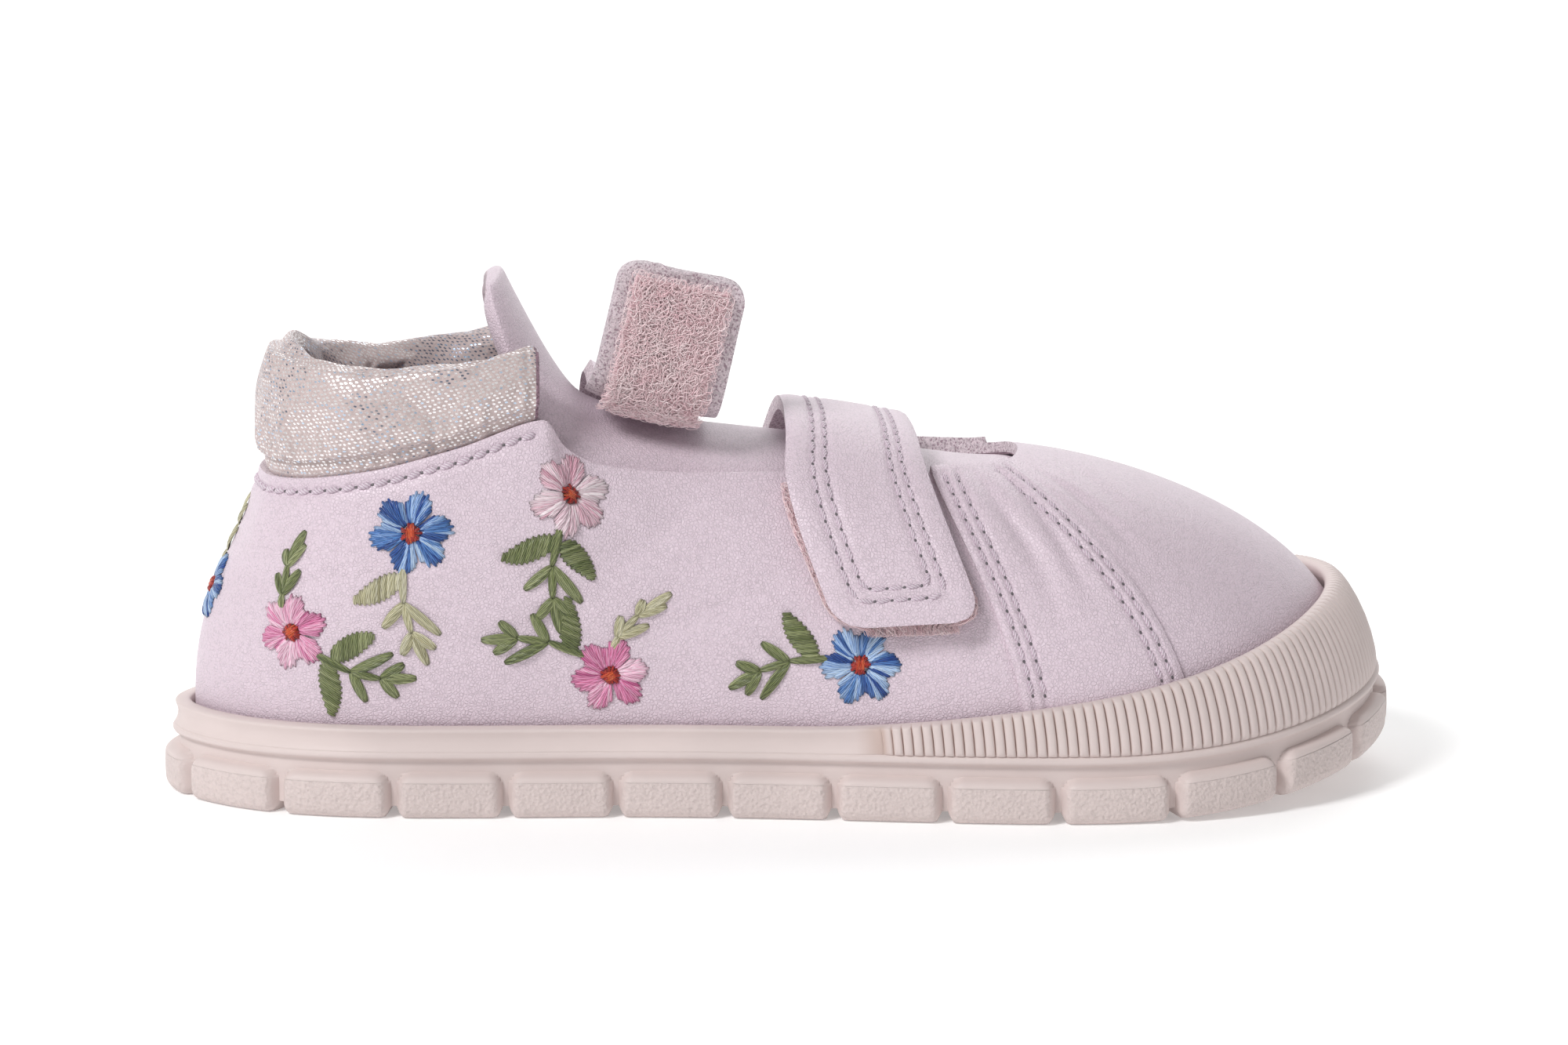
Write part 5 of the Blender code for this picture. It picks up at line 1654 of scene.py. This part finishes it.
class Needlework:
    """Stitches drawn flat, in millimetres round a flower's middle, and then laid on the upper."""

    def __init__(self, seed):
        self.rng = np.random.default_rng(seed)
        self.paths = []
        self.layers = []
        self.widths = []
        self.tones = []

    def stitch(self, path, palette, weight, layer, width):
        """Add one thread along flat points; weight 0 to 1 picks from the palette's dark to its light."""
        dark, middle, light = (np.array(tone) for tone in PALETTES[palette])
        weight = float(np.clip(weight + self.rng.normal(0.0, 0.13), 0.0, 1.0))
        if weight < 0.5:
            tone = dark + (middle - dark) * 2 * weight
        else:
            tone = middle + (light - middle) * (2 * weight - 1)
        part = np.linspace(0.0, 1.0, len(path))
        path = np.asarray(path)
        self.paths.append(np.stack([np.interp(SILK_STEPS, part, path[:, k]) for k in (0, 1)], axis=-1))
        self.layers.append(layer + self.rng.uniform(0.0, 0.08))
        self.widths.append(width * self.rng.uniform(0.88, 1.12))
        self.tones.append(tone * self.rng.uniform(0.84, 1.08))

    def flower(self, radius, palette, start):
        """Fan petals of threads round a heart of dark rays with lighter bars across it."""
        for petal in range(PETALS):
            middle = start + petal * 2 * math.pi / PETALS + self.rng.normal(0.0, 0.05)
            if palette == "blue":
                tones = np.repeat(self.rng.beta(0.7, 0.5, PETAL_THREADS // 2 + 1), 2)[:PETAL_THREADS]
            else:
                tones = self.rng.uniform(0.30, 1.0) + self.rng.normal(0.0, 0.12, PETAL_THREADS)
            for k in range(PETAL_THREADS):
                odd = k % 2
                fan = 2 * k / (PETAL_THREADS - 1) - 1
                out = radius * (PETAL_TIP[0] - PETAL_TIP[1] * fan ** 2)
                out = out + self.rng.normal(0.0, 0.10) - 0.26 * odd
                root = at_angle(middle + fan * PETAL_FAN[0], radius * (0.20 + 0.07 * odd))
                tip = at_angle(middle + fan * PETAL_FAN[1], out)
                self.stitch([root, tip], palette, tones[k], 0.10 + 0.10 * odd, PETAL_SILK)
        for k in range(HEART_RAYS):
            angle = start + k * 2 * math.pi / HEART_RAYS + self.rng.normal(0.0, 0.12)
            ray = [at_angle(angle, radius * 0.03), at_angle(angle, radius * self.rng.uniform(0.21, 0.31))]
            self.stitch(ray, "heart", 0.40 * self.rng.random(), 0.34 + 0.06 * (k % 2), RAY_SILK)
        way = np.array(at_angle(start + 0.4, 1.0))
        side = np.array([-way[1], way[0]])
        for k in range(HEART_BARS):
            reach = radius * self.rng.uniform(0.17, 0.25)
            middle = side * (k - (HEART_BARS - 1) / 2) * 0.24 + way * self.rng.normal(0.0, 0.08)
            bar = [middle - way * reach, middle + way * reach]
            self.stitch(bar, "heart", 0.65 + 0.35 * self.rng.random(), 0.46, BAR_SILK)

    def bundle(self, foot, tip, palette, threads, plump):
        """Lay a few threads side by side from foot to tip as a slim leaf or a stem."""
        foot = np.array(foot)
        tip = np.array(tip)
        side = np.array([-(tip - foot)[1], (tip - foot)[0]])
        side = side / np.linalg.norm(side)
        part = np.linspace(0.0, 1.0, 7)[:, None]
        fullness = np.sin(math.pi * (0.10 + 0.84 * part)) ** 0.8
        for k in range(threads):
            offset = (2 * k / (threads - 1) - 1) * plump
            path = foot + (tip - foot) * part + side * offset * fullness
            layer = 0.12 + 0.12 * (1 - abs(offset / plump))
            self.stitch(path, palette, 0.35 + 0.5 * self.rng.random(), layer, LEAF_SILK)

    def blade(self, foot, tip, width, palette):
        """Cover a broad leaf with short slanted threads from edge to edge."""
        foot = np.array(foot)
        way = np.array(tip) - foot
        length = np.linalg.norm(way)
        way = way / length
        side = np.array([-way[1], way[0]])
        count = int(length / 0.30)
        for k in range(count):
            part = (k + 0.5) / count
            half = 0.5 * width * math.sin(math.pi * (0.06 + 0.90 * part) ** 0.85) ** 0.7
            half = half + (0.12 if k % 2 else -0.06)
            middle = foot + way * part * length
            slant = way * 0.5 * half
            ends = [middle + side * half + slant, middle - side * half - slant]
            self.stitch(ends, palette, 0.30 + 0.55 * self.rng.random(), 0.10 + 0.08 * (k % 2), LEAF_SILK)

    def sprig(self, angle, palette, stems, leaves, plump, blades=()):
        """Draw broad leaves, a stem and slim leaves; plump is for the stems and for the slim leaves."""
        cosine, sine = at_angle(angle, 1.0)

        def turned(along, across):
            return along * cosine - across * sine, along * sine + across * cosine

        for blade in blades:
            self.blade(turned(*blade[:2]), turned(*blade[2:4]), blade[4], palette)
        for lines, threads, width in ((stems, 4, plump[0]), (leaves, 5, plump[1])):
            for line in lines:
                self.bundle(turned(*line[:2]), turned(*line[2:]), palette, threads, width)

    def sew(self, turn, rise, toward):
        """Lay the stitches on the upper round a place; toward is +1 or -1 for the way to the toe."""
        paths = np.array(self.paths)
        turns = np.full(paths.shape[:2], turn)
        rises = np.full(paths.shape[:2], rise)
        for _ in range(SEW_STEPS):
            by_turn = (skin(turns + NEAR, rises) - skin(turns - NEAR, rises)) / (2 * NEAR)
            by_rise = (skin(turns, rises + NEAR) - skin(turns, rises - NEAR)) / (2 * NEAR)
            normal = unit(np.cross(by_turn, by_rise))
            ahead = unit(np.cross((0.0, 0.0, 1.0), normal)) * np.sign(toward)
            upward = np.cross(normal, ahead) * np.sign(toward)
            a, b = (by_turn * ahead).sum(-1), (by_rise * ahead).sum(-1)
            c, d = (by_turn * upward).sum(-1), (by_rise * upward).sum(-1)
            det = a * d - b * c
            turns = turns + (d * paths[..., 0] - b * paths[..., 1]) / det / SEW_STEPS
            rises = rises + (a * paths[..., 1] - c * paths[..., 0]) / det / SEW_STEPS
            rises = np.clip(rises, 0.01, 1.02)
        keep = (rises.max(axis=1) < 1.0) | (rises.mean(axis=1) < 0.985)
        rises = np.clip(rises, 0.02, 0.985)
        normals = skin_normal(turns, rises)
        arch = np.sin(SILK_STEPS * math.pi) ** 0.55
        lift = -0.06 + (np.array(self.layers)[:, None] + 0.10) * arch
        points = skin(turns, rises) + (lift + soft_shape(turns, rises))[..., None] * normals
        tones = np.repeat(np.array(self.tones)[:, None, :], paths.shape[1], axis=1)
        # painted shade where each thread dives into the leather: its colour darkens toward both ends
        ends = np.ones(paths.shape[1])
        ends[-2:] = 0.85, 0.35
        ends[0] = 0.7
        tones = tones * ends[None, :, None]
        widths = np.array(self.widths)
        return [array[keep] for array in (points, normals, widths, tones)]


def make_embroidery(context):
    """Sew the flowers and their leaves onto both quarters and the back of the heel."""
    for side_name, medial, seed in (("lateral", False, SIDE_SEEDS[0]), ("medial", True, SIDE_SEEDS[1])):
        sewn = []
        for number, motif in enumerate(MOTIFS):
            flower, along, height, radius, angle, greens, blades, spray, spray_greens = motif
            work = Needlework(seed + number)
            work.sprig(math.radians(angle), greens, BRANCH_STEMS, BRANCH_LEAVES, BRANCH_PLUMP,
                       BRANCH_BLADES[:blades])
            if spray is not None:
                work.sprig(math.radians(spray), spray_greens, SPRAY_STEMS, SPRAY_LEAVES, SPRAY_PLUMP)
            work.flower(radius, flower, 0.3 + number)
            turn, rise = find_place(along, height, medial)
            sewn.append(work.sew(turn, rise, -1.0 if medial else 1.0))
        if not medial:
            flower, height, radius, angle, greens = HEEL_MOTIF
            work = Needlework(HEEL_SEED)
            work.sprig(math.radians(angle), greens, SPRAY_STEMS, SPRAY_LEAVES, SPRAY_PLUMP)
            work.flower(radius, flower, 0.1)
            sewn.append(work.sew(HEEL_TURN, float(rise_at_height(np.array(HEEL_TURN), height)), 1.0))
        points, normals, widths, tones = (np.concatenate(group) for group in zip(*sewn))
        threads = thread_arrays(points, normals, widths, widths * 0.50, tones, taper=SILK_TAPER)
        piece = mesh_piece("embroidery_" + side_name, *threads)
        finish_piece(piece, [look(context, "silk")], sharp=80)


# Stage
def add_light(name, place, target, size, power):
    """Add a soft square light that points at a target."""
    bpy.ops.object.light_add(type="AREA", location=place)
    light = bpy.context.active_object
    light.name = name
    light.data.size = size
    light.data.energy = power
    way = np.array(target) - np.array(place)
    light.rotation_euler = Vector(way).to_track_quat("-Z", "Y").to_euler()


def make_stage(context):
    """Set the pale sweep, soft lights and the camera."""
    sizes = context.scene.boot_sizes
    bpy.ops.object.select_all(action="DESELECT")
    bpy.ops.mesh.primitive_grid_add(x_subdivisions=2, y_subdivisions=48, size=1.0)
    sweep = start_piece("floor")
    for vert in sweep.data.vertices:
        way = (vert.co.y + 0.5) * FLOOR_SIDE
        bend = min(max((way - SWEEP_FROM) / SWEEP_LENGTH, 0.0), 1.0) * math.pi / 2
        along = min(way, SWEEP_FROM) - FLOOR_FRONT + math.sin(bend) * SWEEP_LENGTH / (math.pi / 2)
        rise = (1 - math.cos(bend)) * SWEEP_LENGTH / (math.pi / 2) + max(way - SWEEP_FROM - SWEEP_LENGTH, 0.0)
        vert.co = (vert.co.x * FLOOR_SIDE, along, rise)
    for name, glow in (("pale_floor", FLOOR_GLOW), ("bright_backdrop", BACKDROP_GLOW)):
        white = (1.0, 1.0, 1.0, 1.0)
        made = Look(name, FLOOR_COLOUR, 0.7, Emission_Color=white, Emission_Strength=glow)
        sweep.data.materials.append(made.material)
    for face in sweep.data.polygons:
        face.material_index = 1 if face.center.y > BACKDROP_FROM else 0
    for light in LIGHTS:
        add_light(*light)
    world = bpy.data.worlds.new("studio")
    context.scene.world = world
    world.use_nodes = True
    background = world.node_tree.nodes["Background"]
    background.inputs["Color"].default_value = (1.0, 1.0, 1.0, 1.0)
    background.inputs["Strength"].default_value = WORLD_STRENGTH
    azimuth = sizes.camera_azimuth
    rise = sizes.camera_elevation
    back = Vector((math.sin(azimuth) * math.cos(rise), -math.cos(azimuth) * math.cos(rise), math.sin(rise)))
    bpy.ops.object.camera_add(location=Vector(CAMERA_TARGET) + back * CAMERA_DISTANCE)
    camera = bpy.context.active_object
    camera.rotation_euler = (-back).to_track_quat("-Z", "Y").to_euler()
    camera.data.lens = CAMERA_LENS
    camera.data.sensor_width = 36.0
    camera.data.clip_start = 0.01
    context.scene.camera = camera
    context.scene.view_settings.view_transform = "Standard"


# Add-on
class BootSizes(bpy.types.PropertyGroup):
    """Sizes that may be changed by hand."""

    stitch_length: FloatProperty(
        name="Stitch length", description="Length of one seam stitch",
        default=0.00190, unit="LENGTH", subtype="DISTANCE")
    stitch_pitch: FloatProperty(
        name="Stitch pitch", description="From one seam stitch to the next",
        default=0.00200, unit="LENGTH", subtype="DISTANCE")
    fibres: IntProperty(
        name="Fibres", description="Loose fibres on the open strap's loop fabric", default=3200)
    camera_azimuth: FloatProperty(
        name="Camera azimuth", description="Angle round the boot from its lateral side",
        default=math.radians(-5.0), unit="ROTATION", subtype="ANGLE")
    camera_elevation: FloatProperty(
        name="Camera elevation", description="Angle above the floor",
        default=math.radians(9.0), unit="ROTATION", subtype="ANGLE")


class BootColours(bpy.types.PropertyGroup):
    """Colours of the boot's stuff."""

    leather: FloatVectorProperty(
        name="Leather", description="Pale lilac-pink grain leather",
        default=(0.74, 0.612, 0.69), subtype="COLOR")
    raw_edge: FloatVectorProperty(
        name="Raw edge", description="Cut edge and flesh side of the leather",
        default=(0.74, 0.64, 0.68), subtype="COLOR")
    fleck: FloatVectorProperty(
        name="Fleck", description="Dark flecks in the raw edge", default=(0.33, 0.22, 0.27), subtype="COLOR")
    facing: FloatVectorProperty(
        name="Facing", description="Mauve suede at the collar's ends",
        default=(0.36, 0.22, 0.28), subtype="COLOR")
    rubber: FloatVectorProperty(
        name="Rubber", description="Pale pinkish-beige sole", default=(0.685, 0.585, 0.565), subtype="COLOR")
    shimmer: FloatVectorProperty(
        name="Shimmer", description="Ground of the foil-dotted collar",
        default=(0.53, 0.43, 0.42), subtype="COLOR")
    # the foil colour is the dots' painted glint, used where a zone is painted lit
    foil: FloatVectorProperty(
        name="Foil", description="Light foil dots of the collar", default=(0.92, 0.90, 0.90), subtype="COLOR")
    lining: FloatVectorProperty(
        name="Lining", description="Brushed cloth inside", default=(0.62, 0.50, 0.55), subtype="COLOR")
    loop: FloatVectorProperty(
        name="Loop fabric", description="Dusty pink loop fabric", default=(0.82, 0.55, 0.59), subtype="COLOR")
    thread: FloatVectorProperty(
        name="Thread", description="Seam thread", default=(0.76, 0.66, 0.73), subtype="COLOR")


class BOOT_OT_sole(bpy.types.Operator):
    """Make the lugged rubber sole and its ribbed band"""

    bl_idname = "boot.sole"
    bl_label = "Sole"

    def execute(self, context):
        make_lugs(context)
        make_band(context)
        return {"FINISHED"}


class BOOT_OT_upper(bpy.types.Operator):
    """Make the leather panels, the lining and the insole"""

    bl_idname = "boot.upper"
    bl_label = "Upper and insole"

    def execute(self, context):
        make_panels(context)
        make_insole(context)
        return {"FINISHED"}


class BOOT_OT_tongue(bpy.types.Operator):
    """Make the tongue"""

    bl_idname = "boot.tongue"
    bl_label = "Tongue"

    def execute(self, context):
        make_tongue(context)
        return {"FINISHED"}


class BOOT_OT_collar(bpy.types.Operator):
    """Make the padded shimmer collar"""

    bl_idname = "boot.collar"
    bl_label = "Collar"

    def execute(self, context):
        make_collar(context)
        return {"FINISHED"}


class BOOT_OT_straps(bpy.types.Operator):
    """Make the closed and the open strap and their loop fabric"""

    bl_idname = "boot.straps"
    bl_label = "Straps"

    def execute(self, context):
        make_lower_strap(context)
        make_upper_strap(context)
        make_loop_fabric(context)
        return {"FINISHED"}


class BOOT_OT_stitching(bpy.types.Operator):
    """Sew the seams of the upper and the straps"""

    bl_idname = "boot.stitching"
    bl_label = "Stitching"

    def execute(self, context):
        tone = tuple(context.scene.boot_colours.thread)
        make_stitch_rows(context, "upper_stitching", seam_rows(), tone)
        make_stitch_rows(context, "strap_stitching", strap_rows(), tone)
        return {"FINISHED"}


class BOOT_OT_embroidery(bpy.types.Operator):
    """Sew the flowers and leaves"""

    bl_idname = "boot.embroidery"
    bl_label = "Embroidery"

    def execute(self, context):
        make_embroidery(context)
        return {"FINISHED"}


class BOOT_OT_stage(bpy.types.Operator):
    """Set the floor, lights and camera"""

    bl_idname = "boot.stage"
    bl_label = "Stage"

    def execute(self, context):
        make_stage(context)
        return {"FINISHED"}


STEPS = (
    BOOT_OT_sole, BOOT_OT_upper, BOOT_OT_tongue, BOOT_OT_collar, BOOT_OT_straps, BOOT_OT_stitching,
    BOOT_OT_embroidery, BOOT_OT_stage,
)


class BOOT_PT_panel(bpy.types.Panel):
    """Buttons that make the boot step by step"""

    bl_idname = "BOOT_PT_panel"
    bl_label = "Baby boot"
    bl_space_type = "VIEW_3D"
    bl_region_type = "UI"
    bl_category = "Boot"

    def draw(self, context):
        for step in STEPS:
            self.layout.operator(step.bl_idname)
        for group in (context.scene.boot_sizes, context.scene.boot_colours):
            for name in group.__annotations__:
                self.layout.prop(group, name)


CLASSES = (BootSizes, BootColours) + STEPS + (BOOT_PT_panel,)


def register():
    """Register the add-on's classes and its settings."""
    for cls in CLASSES:
        bpy.utils.register_class(cls)
    bpy.types.Scene.boot_sizes = PointerProperty(type=BootSizes)
    bpy.types.Scene.boot_colours = PointerProperty(type=BootColours)


def unregister():
    """Take the add-on's settings and classes away again."""
    del bpy.types.Scene.boot_sizes
    del bpy.types.Scene.boot_colours
    for cls in reversed(CLASSES):
        bpy.utils.unregister_class(cls)


def main():
    """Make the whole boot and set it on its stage."""
    register()
    bpy.ops.boot.sole()
    bpy.ops.boot.upper()
    bpy.ops.boot.tongue()
    bpy.ops.boot.collar()
    bpy.ops.boot.straps()
    bpy.ops.boot.stitching()
    bpy.ops.boot.embroidery()
    bpy.ops.boot.stage()


if __name__ == "__main__":
    main()
